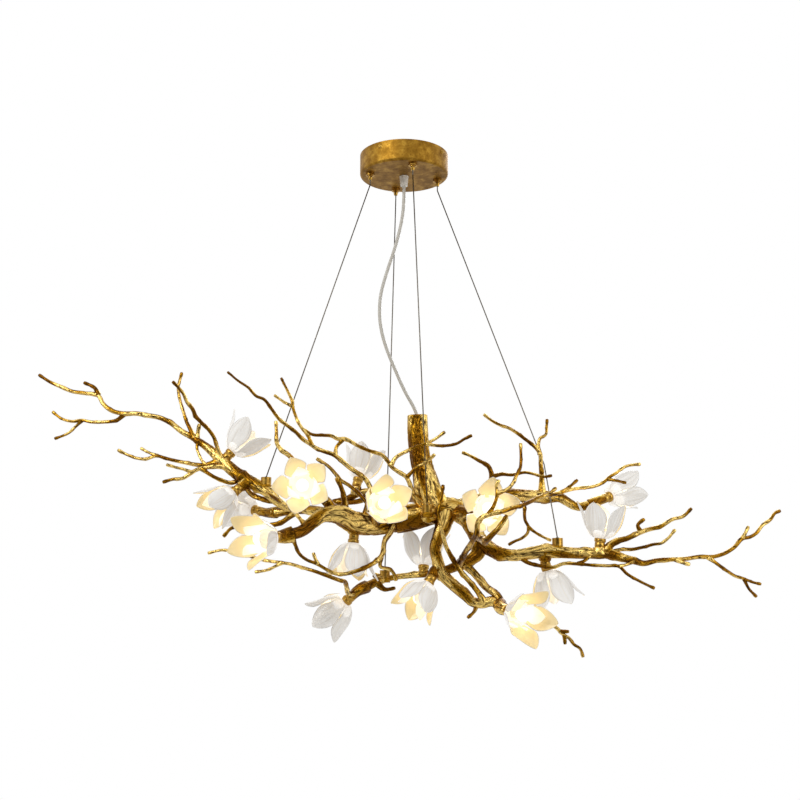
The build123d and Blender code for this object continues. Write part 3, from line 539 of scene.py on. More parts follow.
# Blossoms: the branch, the foot, the way it faces, its stem from the root, that stem's width and its turn
BLOSSOMS = [
    Blossom("left_upper_limb", (-281, -509, 32), (0.65, 0.1, 0.75), ((-297, -528, 36),), 14, 10),
    Blossom("left_upper_limb", (-277, -576, 10), (-0.72, -0.3, -0.62), ((-252, -556, 26),), 15, 30),
    Blossom("left_back_limb", (-243, -604, 56), (-0.8, 0.5, 0.2), ((-206, -608, 28),), 13.6, 0),
    Blossom("left_limb", (-213, -648, -110), (-0.6, -0.78, -0.12), ((-180, -643, -84),), 18, 20),
    Blossom(
        "left_limb", (-164, -565, -70), (0.05, -0.99, -0.06),
        ((-110, -612, -28), (-124, -592, -34), (-146, -574, -40)),
        14, 18,
    ),
    Blossom("back_limb", (-74, -552, 100), (0.25, 0.2, 0.94), ((-78, -579, 99),), 13, 40),
    Blossom("left_limb", (-40, -597, -80), (0.3, -0.94, 0.08), ((-42, -625, -8), (-48, -614, -36)), 16, 5),
    Blossom("left_limb", (-82, -657, -14), (-0.1, -0.05, -0.99), ((-80, -628, -16),), 18, 50),
    Blossom("lower_left_limb", (31, -692, 42), (0.05, 0.2, 0.97), (), 0, 25),
    Blossom("lower_limb", (37, -722, -40), (-0.5, -0.35, -0.8), ((58, -698, -30),), 14, 15),
    Blossom("lower_left_limb", (-93, -749, 20), (-0.7, 0.35, -0.6), ((-60, -726, 24),), 15, 0),
    Blossom("trunk", (133, -602, -80), (0.02, -0.99, -0.06), ((84, -607, -4), (108, -608, -34)), 18, 60),
    Blossom("right_limb", (315, -649, -50), (0.1, -0.1, 0.98), ((312, -676, -50),), 15, 0),
    Blossom("right_upper_limb", (333, -582, 80), (0.8, 0.45, 0.3), ((299, -595, 65),), 12.5, 35),
    Blossom("right_limb", (229, -700, -38), (0.3, 0.12, -0.94), ((226, -670, -44),), 15, 20),
    Blossom("lower_limb", (172, -766, -80), (0.5, -0.84, -0.16), ((151, -753, -40),), 16, 45),
]

# Ribs of the porcelain petals from foot to tip: radius, height, width and hollow
OUTER_RIBS = (
    (11.0, 0.4, 13, 1.2),
    (17.6, 4, 20, 2.0),
    (22.0, 9, 25, 2.8),
    (28.2, 18, 33.5, 4.2),
    (32.7, 28, 39, 5.4),
    (36.6, 38, 41, 5.4),
    (40.6, 47, 41, 3.6),
    (44.2, 55.2, 40, 0.4),
)
INNER_RIBS = (
    (18.2, 7, 16, 1.2),
    (19.0, 14, 22, 2.0),
    (20.4, 22, 27, 3.4),
    (22.4, 32, 30, 4.4),
    (25.0, 42, 30, 4.0),
    (27.6, 49.6, 27, 1.4),
)

# Outer and inner petals; the steps make no two petals alike, and the painted glow, the bulb's light painted
# on the porcelain, grows towards the bulb.
WHORLS = (
    Whorl(OUTER_RIBS, petals=5, first_angle=0, blossom_step=1.7, petal_step=2.3, glow=0.45),
    Whorl(INNER_RIBS, petals=3, first_angle=36, blossom_step=0.9, petal_step=1.9, glow=1.1),
)

# A petal's points along and across, its wall, the lift and lap of its edges, their wave, its lean from the
# most open to the most closed, its shrinking, and the share of its length from which it closes in a point
PETAL_ROWS = 30
PETAL_COLUMNS = 19
PETAL_WALL = 1.8
PETAL_LIFT = 1.5
PETAL_LAP = 1.4
PETAL_WAVE = 0.6
PETAL_LEAN_OUT = 2.0
PETAL_LEAN_SPAN = 8.0
PETAL_SHRINK = 0.04
PETAL_TIP_START = 0.42
PETAL_TIP_LEFT = 0.0012

# The blossom's cup: heights from its foot and radii, up its outside and down its inside
CUP_OUTSIDE = ((0.0, 5.4), (0.0, 11.0), (1.6, 14.2), (4.0, 17.6), (7.0, 20.2), (12.0, 22.8))
CUP_INSIDE = ((12.0, 21.0), (7.6, 18.0), (5.0, 14.6), (3.4, 10.4), (3.0, 5.4))

# Studio in metres, watts and degrees, with the lens and sensor in millimetres
FLOOR_REACH = 5.0
FLOOR_Z = -1.9
CLOTH_REACH = 3.2
CLOTH_Y = -3.4
CLOTH_TOP_Z = 0.1
LAMP_AIM = np.array((0.0, 0.0, -0.6))
LAMPS = (
    Lamp("key_lamp", (-1.6, -1.9, 0.7), size=1.0, power=26.0),
    Lamp("fill_lamp", (1.9, -1.5, -0.2), size=1.4, power=12.0),
    Lamp("back_lamp", (0.6, 1.9, 0.6), size=1.2, power=14.0),
)
CAMERA_PLACE = (-0.0069, -1.796, -0.753)
CAMERA_TILT = 10.4
CAMERA_LENS = 50
CAMERA_SENSOR = 36

# Fixed waves for the bark's noise
WAVE_COUNT = 22
CHANCE = np.random.default_rng(23)
WAVES = CHANCE.normal(size=(3, WAVE_COUNT))
WAVE_STARTS = CHANCE.uniform(0, 2 * pi, WAVE_COUNT)


def wander(places):
    """Smooth noise with a spread of about one: a sum of sine waves in fixed directions with fixed starts."""
    return np.sin(places @ WAVES + WAVE_STARTS).sum(axis=-1) / np.sqrt(WAVE_COUNT / 2)


def spots(points, depths):
    """Drawn points, each moved along its sight line from the eye by its depth."""
    points = np.asarray(points, float).reshape(-1, 2)
    drawn = np.column_stack([points[:, 0], np.zeros(len(points)), points[:, 1]])
    reach = (np.asarray(depths, float) - EYE[1]) / -EYE[1]
    return EYE + (drawn - EYE) * reach[:, None]


def spot(place):
    """One drawn place, given across, in height and in depth."""
    return spots([place[:2]], [place[2]])[0]


def runs(places):
    """The length along a line up to each of its points."""
    return np.concatenate([[0], np.cumsum(np.linalg.norm(np.diff(places, axis=0), axis=1))])


def stations(route):
    """A drawn branch's places and widths: its depths and widths are spread evenly along its drawn length."""
    drawn = runs(np.array(route.points, float))
    share = drawn / drawn[-1]
    depths = np.interp(share, np.linspace(0, 1, len(route.depths)), route.depths)
    return spots(route.points, depths), np.interp(share, np.linspace(0, 1, len(route.widths)), route.widths)


def unit(vectors):
    """Vectors scaled to length one."""
    return vectors / np.linalg.norm(vectors, axis=-1, keepdims=True)


def smooth_line(places, marks):
    """Points on a smooth line at given lengths: a cubic on each stretch between two places, whose slope at a
    place is the mean of the two chords there, each weighted by the other's length."""
    gaps = np.linalg.norm(np.diff(places, axis=0), axis=1)
    chords = np.diff(places, axis=0) / gaps[:, None]
    slopes = np.concatenate([chords[:1], chords, chords[-1:]])
    weights = np.concatenate([gaps[:1], gaps, gaps[-1:]])[:, None]
    slopes = (slopes[:-1] * weights[1:] + slopes[1:] * weights[:-1]) / (weights[:-1] + weights[1:])
    ends = runs(places)
    i = np.clip(np.searchsorted(ends, marks, side="right") - 1, 0, len(gaps) - 1)
    t = ((marks - ends[i]) / gaps[i])[:, None]
    gap = gaps[i][:, None]
    return (
        (2 * t**3 - 3 * t**2 + 1) * places[i]
        + (t**3 - 2 * t**2 + t) * gap * slopes[i]
        + (3 * t**2 - 2 * t**3) * places[i + 1]
        + (t**3 - t**2) * gap * slopes[i + 1]
    )


def carried_frames(line):
    """Two side directions at each point of a line: the first is carried along, kept square to the heading."""
    headings = unit(np.gradient(line, axis=0))
    side = np.cross(headings[0], (0.3, 1.0, 0.2))
    sides = []
    for heading in headings:
        side = unit(side - heading * (side @ heading))
        sides.append(side)
    sides = np.array(sides)
    return sides, np.cross(headings, sides)


def swept(line, radii, turns):
    """Circles carried along a line: centre + radius * (cos * first side + sin * second side)."""
    sides, others = carried_frames(line)
    around = sides[:, None] * np.cos(turns)[None, :, None] + others[:, None] * np.sin(turns)[None, :, None]
    return line[:, None] + around * radii[..., None]


def tube(line, radius, columns):
    """A round tube: equal circles carried along a line."""
    turns = np.linspace(0, 2 * pi, columns, endpoint=False)
    return swept(line, np.full((len(line), columns), radius), turns)


def lathe(foot, axis, profile, columns):
    """A turned form: a profile of heights and radii, swept round an axis that starts at a foot."""
    axis = unit(np.asarray(axis, float))
    across = unit(np.cross(axis, (0.2, 0.3, 1.0) if abs(axis[2]) < 0.9 else (1.0, 0.3, 0.2)))
    other = np.cross(axis, across)
    turns = np.linspace(0, 2 * pi, columns, endpoint=False)
    ring = np.cos(turns)[:, None] * across + np.sin(turns)[:, None] * other
    heights, radii = np.array(profile, float).T
    return foot + heights[:, None, None] * axis + radii[:, None, None] * ring[None]


class Skin:
    """Grids of points gathered into one mesh: each is closed round its second way and capped at both ends."""

    def __init__(self):
        self.points, self.faces, self.finish, self.notes, self.total = [], [], [], {}, 0

    def grid(self, points, finish=0, **notes):
        """Add one grid of rows and columns with its finish and its notes, one value or vector to a point."""
        rows, columns = points.shape[:2]
        ids = np.arange(rows * columns).reshape(rows, columns) + self.total
        ahead = np.roll(ids, -1, axis=1)
        quads = np.stack([ids[:-1], ahead[:-1], ahead[1:], ids[1:]], axis=-1).reshape(-1, 4)
        self.faces += quads.tolist() + [ids[0, ::-1].tolist(), ids[-1].tolist()]
        self.finish += [finish] * (len(quads) + 2)
        self.points.append(points.reshape(-1, 3))
        for name, values in notes.items():
            self.notes.setdefault(name, []).append(np.reshape(values, (rows * columns, -1)))
        self.total += rows * columns

    def piece(self, name, body, finishes, slot, *nodes):
        """Make the mesh in metres, with its notes as attributes, riding on a body in place of CAD nodes."""
        mesh = bpy.data.meshes.new(name)
        mesh.from_pydata((np.vstack(self.points) * MM).tolist(), [], self.faces)
        mesh.polygons.foreach_set("material_index", self.finish)
        mesh.polygons.foreach_set("use_smooth", [True] * len(self.faces))
        for note, values in self.notes.items():
            values = np.vstack(values).astype(np.float32)
            wide = values.shape[1] == 3
            layer = mesh.attributes.new(note, "FLOAT_VECTOR" if wide else "FLOAT", "POINT")
            layer.data.foreach_set("vector" if wide else "value", values.ravel())
        for finish in finishes:
            mesh.materials.append(finish)
        made = bpy.data.objects.new(name, mesh)
        bpy.context.scene.collection.objects.link(made)
        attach(made, body)
        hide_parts(*nodes)
        return made


def bark(skin, places, widths, seed, cut_log=False):
    """One branch: circles along a smooth line. The radius is half the width, swelled at the root, the tip and
    the knots, raised and lowered by slow noise, and cut by grooves where stretched noise passes zero."""
    ends = runs(places)
    length, root, tip = ends[-1], widths[0], widths[-1] / 2
    step = np.clip(widths.max() / 9, *RING_GAPS)
    marks = np.linspace(0, length - 0.3 * tip, max(RINGS_MIN, int(length / step)))
    count = int(np.clip(pi * widths.max() / POINT_GAP, *POINTS_ROUND))
    turns = np.linspace(0, 2 * pi, count, endpoint=False)
    radius = np.interp(marks, ends, widths) / 2

    # Swells at the root and at a thin tip, and knots at uneven spacings, each to one side
    swell = np.zeros(len(marks)) if cut_log else ROOT_SWELL * np.exp(-((marks / (1.5 * root)) ** 2))
    if tip < TWIG_TIP_R:
        swell = swell + TIP_SWELL * np.exp(-(((length - 2 * tip - marks) / (1.8 * tip)) ** 2))
    knots = np.zeros((len(marks), count))
    spacing = KNOT_SPACING * widths.mean() + KNOT_GAP
    for k in range(1, int(length / spacing) + 1):
        middle = spacing * (k + 0.35 * np.sin(7.3 * k + seed))
        lean = 0.5 + 0.5 * np.cos(turns - 2.4 * k - seed)
        knots += np.exp(-(((marks - middle) / (KNOT_LENGTH * widths.mean())) ** 2))[:, None] * lean

    # Grooves follow noise that is drawn out along the branch and finer on thin twigs; the seed keeps two
    # branches from being alike.
    thick = np.clip(radius / WIDE_GROOVE_R, 0.25, 1.0)
    spread = (0.65 + 1.15 * thick)[:, None, None]
    along = np.repeat(marks[:, None] / GROOVE_STRETCH, count, 1)
    place = np.stack([radius[:, None] * np.cos(turns), radius[:, None] * np.sin(turns), along], axis=-1)
    noise = wander(place / spread + seed * 3.7)
    finer = wander(place / (0.55 * spread) - seed * 5.1)
    slow = wander(place / (3.4 * spread) + seed)
    fine_groove = FINE_GROOVE_SHARE * np.exp(-((finer / FINE_GROOVE_WIDTH) ** 2))
    groove = np.maximum(np.exp(-((noise / GROOVE_WIDTH) ** 2)), fine_groove)
    depth = np.clip(GROOVE_DEPTH * radius, *GROOVE_DEPTHS)[:, None]
    shape = radius[:, None] * (1 + swell[:, None] + KNOT_SWELL * knots + SLOW_SWELL * slow * thick[:, None])
    shape = shape - depth * groove * np.clip(radius / DEEP_GROOVE_R, 0.3, 1)[:, None] + 0.35 * depth
    polish = np.clip(0.5 + 0.35 * slow, 0, 1)

    line = smooth_line(places, marks)
    points = swept(line, shape, turns)

    # The blunt end, and on the log the sawn face with its bore
    layers = [points, groove, place * MM, polish]
    heading = unit(line[-1] - line[-2])
    rim = points[-1] - line[-1]
    for ahead, share in BLUNT_TIP:
        ring = line[-1] + heading * ahead * tip + rim * share
        added = (ring, groove[-1] * 0.4, place[-1] * MM * share, polish[-1])
        layers = [np.concatenate([layer, row[None]]) for layer, row in zip(layers, added)]
    if cut_log:
        heading = unit(line[1] - line[0])
        rim = points[0] - line[0]
        bore = TRUNK_BORE_R / np.linalg.norm(rim, axis=1, keepdims=True)
        for below, share in (*SAWN_FACE, (0, bore), (TRUNK_BORE_DEPTH, bore)):
            ring = line[0] + heading * below + rim * share
            added = (ring, groove[0] * 0.3, place[0] * MM * np.mean(share), polish[0])
            layers = [np.concatenate([row[None], layer]) for layer, row in zip(layers, added)]
    skin.grid(layers[0], groove=layers[1], bark=layers[2], polish=layers[3])


def plain(skin, points, finish, polish):
    """A turned form on a branch, without grooves."""
    shape = points.shape[:2]
    skin.grid(points, finish, groove=np.zeros(shape), bark=points * MM, polish=np.full(shape, polish))


def seat(blossom):
    """A blossom's foot and its three directions: two across it and the way it faces."""
    facing = unit(np.array(blossom.facing, float))
    level = unit(np.cross(facing, (0.2, 0.3, 1.0)))
    turn = radians(blossom.turn)
    across = level * np.cos(turn) + np.cross(facing, level) * np.sin(turn)
    return spot(blossom.base), across, np.cross(facing, across), facing


def stem_line(blossom):
    """The places and widths of the branch end that leads a limb round to a blossom."""
    foot, _, _, facing = seat(blossom)
    places = [spot(place) for place in blossom.stem]
    lead = foot - facing * STEM_LEAD
    if (lead - places[-1]) @ facing > STEM_RISE:
        places.append(lead)
    places.append(foot - facing * (POST_LENGTH - STEM_IN_POST))
    return np.array(places), np.linspace(blossom.stem_width, 2 * POST_R - 1, len(places))


def petal(skin, blossom_seat, ribs, angle, seed, glow):
    """One petal: a crescent carried along a midline through the ribs. Its half width follows the ribs and
    closes in a point, its edges curl in by the hollow and wave, one edge laps over the next petal, and the
    wall thins towards the edges and the tip."""
    foot, across, other, facing = blossom_seat
    radii, heights, widths, hollows = np.array(ribs, float).T
    mids = np.column_stack([radii, np.zeros(len(radii)), heights])
    ends = runs(mids)
    share = np.sin(np.linspace(0, pi / 2, PETAL_ROWS))
    marks = ends[-1] * share
    closing = np.sin(seed * 2.7) * 0.5 + 0.5
    line = smooth_line(mids, marks) * (1 - PETAL_SHRINK * closing * share)[:, None]
    line[:, 0] += (PETAL_LEAN_OUT - PETAL_LEAN_SPAN * closing) * share**2
    headings = unit(np.gradient(line, axis=0))
    inward = np.column_stack([-headings[:, 2], np.zeros(len(line)), headings[:, 0]])

    pointing = np.clip((share - PETAL_TIP_START) / (1 - PETAL_TIP_START), 0, 1)
    half = np.interp(marks, ends, widths) / 2 * np.clip(1 - pointing**1.9, PETAL_TIP_LEFT, 1) ** 0.7
    hollow = np.interp(marks, ends, hollows) * (half / half.max()) ** 0.5
    v = np.linspace(-1, 1, PETAL_COLUMNS)
    wave = PETAL_WAVE * np.sin(4 * v + seed) * (share**2)[:, None]
    lap = (PETAL_LIFT + PETAL_LAP * v) * (share * (1 - share) * 4)[:, None]
    outer = (hollow * share**0.3)[:, None] * v**2 + lap + wave
    wall = PETAL_WALL * (1 - 0.75 * v**4) * (1 - 0.45 * share[:, None])

    # Round the crescent: along its outside from edge to edge, then back along its inside
    places = np.concatenate([v, v[-2:0:-1]])
    rise = np.concatenate([outer, (outer + wall)[:, -2:0:-1]], axis=1)
    inside = np.concatenate([np.zeros(len(v)), np.ones(len(v) - 2)])
    flat = line[:, None] + inward[:, None] * rise[..., None]
    side = half[:, None] * places
    turn = radians(angle)
    x = flat[..., 0] * np.cos(turn) - side * np.sin(turn)
    y = flat[..., 0] * np.sin(turn) + side * np.cos(turn)
    # Painted glow: the bulb's light painted on the petal, a quarter weaker at its tip
    skin.grid(
        foot + x[..., None] * across + y[..., None] * other + flat[..., 2:] * facing,
        inside=np.broadcast_to(inside, rise.shape),
        petal=np.stack(np.broadcast_arrays(places, share[:, None], seed), axis=-1),
        glow=np.broadcast_to(glow * (1 - 0.25 * share)[:, None], rise.shape),
    )


def porcelain_cup(skin, blossom_seat):
    """The closed foot of a blossom: a thin bowl turned round the blossom's axis."""
    foot, _, _, facing = blossom_seat
    points = lathe(foot, facing, CUP_OUTSIDE + CUP_INSIDE, TURNED_COLUMNS)
    shape = points.shape[:2]
    inside = np.concatenate([np.zeros(len(CUP_OUTSIDE)), np.ones(len(CUP_INSIDE))])
    veins = np.linspace(-1, 1, TURNED_COLUMNS) * 5
    skin.grid(
        # The cup takes the full painted glow of the bulb's light
        points,
        inside=np.broadcast_to(inside[:, None], shape),
        petal=np.stack(np.broadcast_arrays(veins, np.zeros(shape), 3.0), axis=-1),
        glow=np.ones(shape),
    )


def curve_points(places):
    """Points along a smooth curve that has the places as its control points."""
    data = bpy.data.curves.new("route", "CURVE")
    data.dimensions = "3D"
    data.resolution_u = 14
    spline = data.splines.new("NURBS")
    spline.points.add(len(places) - 1)
    spline.points.foreach_set("co", np.column_stack([places, np.ones(len(places))]).ravel())
    spline.order_u = 3
    spline.use_endpoint_u = True
    route = bpy.data.objects.new("route", data)
    bpy.context.scene.collection.objects.link(route)
    bpy.context.view_layer.update()
    mesh = bpy.data.meshes.new_from_object(route)
    points = np.empty(len(mesh.vertices) * 3)
    mesh.vertices.foreach_get("co", points)
    bpy.data.objects.remove(route)
    bpy.data.curves.remove(data)
    bpy.data.meshes.remove(mesh)
    return points.reshape(-1, 3)


def linear(colour):
    """An sRGB hex colour as linear red, green, blue and alpha."""
    parts = np.array([int(colour[i : i + 2], 16) for i in (1, 3, 5)]) / 255
    parts = np.where(parts <= 0.04045, parts / 12.92, ((parts + 0.055) / 1.055) ** 2.4)
    return (*parts.tolist(), 1.0)


def add(tree, kind, settings=None, **sockets):
    """Add one node with its settings, a ramp's stops among them. Inputs are given by name, or by number after
    an underscore, and take a value or another node's output."""
    made = tree.nodes.new(kind)
    settings = dict(settings or {})
    for i, (place, colour) in enumerate(settings.pop("stops", ())):
        stop = made.color_ramp.elements[i] if i < 2 else made.color_ramp.elements.new(place)
        stop.position = place
        stop.color = linear(colour)
    for name, value in settings.items():
        setattr(made, name, value)
    for name, value in sockets.items():
        socket = made.inputs[int(name[1:])] if name[1:].isdigit() else made.inputs[name.replace("_", " ")]
        if isinstance(value, bpy.types.NodeSocket):
            tree.links.new(value, socket)
        else:
            socket.default_value = value
    return made


def start(name):
    """A new material and its empty node tree."""
    made = bpy.data.materials.new(name)
    made.use_nodes = True
    made.node_tree.nodes.clear()
    return made, made.node_tree


def cast_brass():
    """Lost-wax cast brass, buffed on its high spots, with brown patina left in the grooves, painted darker
    as the shade in them too: gold light over dark lines."""
    made, tree = start("cast_brass_patina_and_painted_shade")
    groove = add(tree, "ShaderNodeAttribute", {"attribute_name": "groove"}).outputs["Fac"]
    polish = add(tree, "ShaderNodeAttribute", {"attribute_name": "polish"}).outputs["Fac"]
    place = add(tree, "ShaderNodeAttribute", {"attribute_name": "bark"}).outputs["Vector"]
    # Casting grain about 1.4 mm wide and drawn out along the branch, and slow stains about 12 mm wide
    grain = add(
        tree, "ShaderNodeTexNoise", Vector=place, Scale=700.0, Detail=4.0, Roughness=0.6
    ).outputs["Fac"]
    stain = add(tree, "ShaderNodeTexNoise", Vector=place, Scale=85.0, Detail=2.0).outputs["Fac"]
    worn = add(tree, "ShaderNodeMath", {"operation": "MULTIPLY_ADD"}, _0=grain, _1=0.5, _2=polish).outputs[0]
    gold_stops = ((0.4, "#73490A"), (0.72, "#AC7D1A"), (0.96, "#F0CC74"))
    gold = add(tree, "ShaderNodeValToRGB", {"stops": gold_stops}, Fac=worn).outputs["Color"]
    # Painted shade: the grooves' dark brown stands for their patina and for the shade that falls in them
    patina_and_shade_stops = ((0.3, "#271502"), (0.7, "#54350A"))
    patina_and_shade = add(tree, "ShaderNodeValToRGB", {"stops": patina_and_shade_stops}, Fac=stain).outputs["Color"]
    share = add(
        tree, "ShaderNodeMath", {"operation": "MULTIPLY_ADD", "use_clamp": True}, _0=groove, _1=1.15, _2=-0.08
    ).outputs[0]
    colour = add(tree, "ShaderNodeMix", {"data_type": "RGBA"}, _0=share, _6=gold, _7=patina_and_shade).outputs[2]
    rough = add(tree, "ShaderNodeMapRange", Value=groove, To_Min=0.24, To_Max=0.5).outputs["Result"]
    bump = add(tree, "ShaderNodeBump", Height=grain, Strength=0.8, Distance=0.0009).outputs["Normal"]
    shader = add(
        tree, "ShaderNodeBsdfPrincipled", Base_Color=colour, Metallic=1.0, Roughness=rough, Normal=bump
    )
    add(tree, "ShaderNodeOutputMaterial", Surface=shader.outputs["BSDF"])
    return made


def turned_brass():
    """Brass turned on a lathe and lacquered: even gold with faint cutting marks."""
    made, tree = start("turned_brass")
    place = add(tree, "ShaderNodeTexCoord").outputs["Object"]
    # Handling marks about 4 mm wide and cutting marks about 0.5 mm apart
    stain = add(tree, "ShaderNodeTexNoise", Vector=place, Scale=250.0, Detail=3.0).outputs["Fac"]
    marks = add(tree, "ShaderNodeTexNoise", Vector=place, Scale=2000.0, Detail=1.0).outputs["Fac"]
    stops = ((0.3, "#96702A"), (0.7, "#C79F4C"))
    colour = add(tree, "ShaderNodeValToRGB", {"stops": stops}, Fac=stain).outputs["Color"]
    bump = add(tree, "ShaderNodeBump", Height=marks, Strength=0.15, Distance=0.0002).outputs["Normal"]
    rough = add(tree, "ShaderNodeMapRange", Value=stain, To_Min=0.24, To_Max=0.4).outputs["Result"]
    shader = add(
        tree, "ShaderNodeBsdfPrincipled", Base_Color=colour, Metallic=1.0, Roughness=rough, Normal=bump
    )
    add(tree, "ShaderNodeOutputMaterial", Surface=shader.outputs["BSDF"])
    return made


def spun_brass():
    """Spun sheet brass, aged and waxed: brown-gold with cloudy patches and small dark flecks."""
    made, tree = start("spun_brass_aged")
    place = add(tree, "ShaderNodeTexCoord").outputs["Object"]
    # Clouds about 14 mm wide, flecks about 2 mm wide and spinning lines about 1 mm apart
    cloud = add(
        tree, "ShaderNodeTexNoise", Vector=place, Scale=70.0, Detail=5.0, Roughness=0.65
    ).outputs["Fac"]
    fleck = add(tree, "ShaderNodeTexNoise", Vector=place, Scale=420.0, Detail=2.0).outputs["Fac"]
    spun = add(tree, "ShaderNodeMapping", Vector=place, Scale=(60.0, 60.0, 900.0)).outputs["Vector"]
    lines = add(tree, "ShaderNodeTexNoise", Vector=spun, Scale=1.0, Detail=2.0).outputs["Fac"]
    stops = ((0.3, "#775316"), (0.5, "#936B23"), (0.72, "#BC923A"))
    body = add(tree, "ShaderNodeValToRGB", {"stops": stops}, Fac=cloud).outputs["Color"]
    share = add(
        tree, "ShaderNodeMapRange", Value=fleck, From_Min=0.62, From_Max=0.74, To_Max=0.6
    ).outputs["Result"]
    colour = add(
        tree, "ShaderNodeMix", {"data_type": "RGBA"}, _0=share, _6=body, _7=linear("#4A3210")
    ).outputs[2]
    rough = add(
        tree, "ShaderNodeMapRange", Value=cloud, From_Min=0.3, From_Max=0.7, To_Min=0.58, To_Max=0.46
    ).outputs["Result"]
    bump = add(tree, "ShaderNodeBump", Height=lines, Strength=0.2, Distance=0.0003).outputs["Normal"]
    shader = add(
        tree, "ShaderNodeBsdfPrincipled", Base_Color=colour, Metallic=1.0, Roughness=rough, Normal=bump
    )
    add(tree, "ShaderNodeOutputMaterial", Surface=shader.outputs["BSDF"])
    return made


def porcelain_with_painted_glow():
    """Thin glazed porcelain, cool white outside with fine veins. The lamp's light in it is painted on: warm
    cream painted inside, and a painted glow on both faces that is stronger nearer the bulb.
    """
    made, tree = start("porcelain_glazed_painted_glow")
    inside = add(tree, "ShaderNodeAttribute", {"attribute_name": "inside"}).outputs["Fac"]
    glow = add(tree, "ShaderNodeAttribute", {"attribute_name": "glow"}).outputs["Fac"]
    place = add(tree, "ShaderNodeAttribute", {"attribute_name": "petal"}).outputs["Vector"]
    # Veins run from foot to tip, about ten across a petal of 40 mm
    along = add(tree, "ShaderNodeMapping", Vector=place, Scale=(5.0, 1.1, 5.0)).outputs["Vector"]
    vein = add(tree, "ShaderNodeTexNoise", Vector=along, Scale=1.0, Detail=3.0, Roughness=0.55).outputs["Fac"]
    glaze_stops = ((0.36, "#E8E5E0"), (0.6, "#FDFCFA"))
    glaze = add(tree, "ShaderNodeValToRGB", {"stops": glaze_stops}, Fac=vein).outputs["Color"]
    # Painted lamplight: the inside is painted warm cream, paler where the painted glow is strong
    painted_lamplight_stops = ((0.3, "#FBE7B4"), (0.6, "#FDEDC4"), (1.0, "#FFF7E6"))
    painted_lamplight = add(tree, "ShaderNodeValToRGB", {"stops": painted_lamplight_stops}, Fac=glow).outputs["Color"]
    colour = add(tree, "ShaderNodeMix", {"data_type": "RGBA"}, _0=inside, _6=glaze, _7=painted_lamplight).outputs[2]
    bump = add(tree, "ShaderNodeBump", Height=vein, Strength=0.35, Distance=0.0008).outputs["Normal"]
    # Painted glow: a warm light given off inside and a pale white one outside, stronger nearer the bulb
    painted_glow_stops = ((0.35, "#FFE19A"), (0.65, "#FFEDC6"), (0.95, "#FFF9EC"))
    painted_glow_colour = add(tree, "ShaderNodeValToRGB", {"stops": painted_glow_stops}, Fac=glow).outputs["Color"]
    painted_glow_tint = add(
        tree, "ShaderNodeMix", {"data_type": "RGBA"}, _0=inside, _6=linear("#FFFAF2"), _7=painted_glow_colour
    ).outputs[2]
    painted_glow_strength = add(
        tree, "ShaderNodeMapRange", Value=glow, From_Min=0.3, From_Max=1.2, To_Min=0.12, To_Max=0.48
    ).outputs["Result"]
    shader = add(
        tree, "ShaderNodeBsdfPrincipled", Base_Color=colour, Roughness=0.22, IOR=1.52, Normal=bump,
        Emission_Color=painted_glow_tint, Emission_Strength=painted_glow_strength,
    )
    add(tree, "ShaderNodeOutputMaterial", Surface=shader.outputs["BSDF"])
    return made


def lit_glass():
    """Frosted glass bulb, switched on: an even warm white."""
    made, tree = start("frosted_glass_lit")
    place = add(tree, "ShaderNodeTexCoord").outputs["Object"]
    # Frosting about 1.5 mm across, just seen through the light
    frost = add(tree, "ShaderNodeTexNoise", Vector=place, Scale=650.0, Detail=2.0).outputs["Fac"]
    stops = ((0.3, "#FFF0CC"), (0.7, "#FFFAEE"))
    colour = add(tree, "ShaderNodeValToRGB", {"stops": stops}, Fac=frost).outputs["Color"]
    shader = add(
        tree, "ShaderNodeBsdfPrincipled", Base_Color=linear("#F5EEDD"), Roughness=0.45, IOR=1.5,
        Emission_Color=colour, Emission_Strength=1.2,
    )
    add(tree, "ShaderNodeOutputMaterial", Surface=shader.outputs["BSDF"])
    return made


def satin(name, pale, deep, metallic, rough, grain):
    """A plain moulded, fired or drawn surface: a fine grain of a given size in metres turns it between two
    near colours."""
    made, tree = start(name)
    place = add(tree, "ShaderNodeTexCoord").outputs["Object"]
    noise = add(tree, "ShaderNodeTexNoise", Vector=place, Scale=1.0 / grain, Detail=3.0).outputs["Fac"]
    stops = ((0.3, deep), (0.7, pale))
    colour = add(tree, "ShaderNodeValToRGB", {"stops": stops}, Fac=noise).outputs["Color"]
    bump = add(tree, "ShaderNodeBump", Height=noise, Strength=0.12, Distance=0.0002).outputs["Normal"]
    shader = add(
        tree, "ShaderNodeBsdfPrincipled", Base_Color=colour, Metallic=metallic, Roughness=rough, Normal=bump
    )
    add(tree, "ShaderNodeOutputMaterial", Surface=shader.outputs["BSDF"])
    return made


def stranded_steel():
    """Stranded steel wire: grey, with the strands' slant lines about 0.6 mm apart."""
    made, tree = start("stranded_steel_wire")
    place = add(tree, "ShaderNodeTexCoord").outputs["Object"]
    lines = add(
        tree, "ShaderNodeTexWave", {"bands_direction": "DIAGONAL"}, Vector=place, Scale=500.0, Distortion=0.5
    ).outputs["Fac"]
    stops = ((0.2, "#4A443B"), (0.8, "#857E72"))
    colour = add(tree, "ShaderNodeValToRGB", {"stops": stops}, Fac=lines).outputs["Color"]
    bump = add(tree, "ShaderNodeBump", Height=lines, Strength=0.4, Distance=0.0002).outputs["Normal"]
    shader = add(
        tree, "ShaderNodeBsdfPrincipled", Base_Color=colour, Metallic=1.0, Roughness=0.35, Normal=bump
    )
    add(tree, "ShaderNodeOutputMaterial", Surface=shader.outputs["BSDF"])
    return made


def sight(tree):
    """One for rays that the camera sends itself, through glass or off a mirror, and zero for others."""
    rays = add(tree, "ShaderNodeLightPath").outputs
    shown = rays["Is Camera Ray"]
    for other in ("Is Transmission Ray", "Is Glossy Ray"):
        shown = add(tree, "ShaderNodeMath", {"operation": "MAXIMUM"}, _0=shown, _1=rays[other]).outputs[0]
    return shown


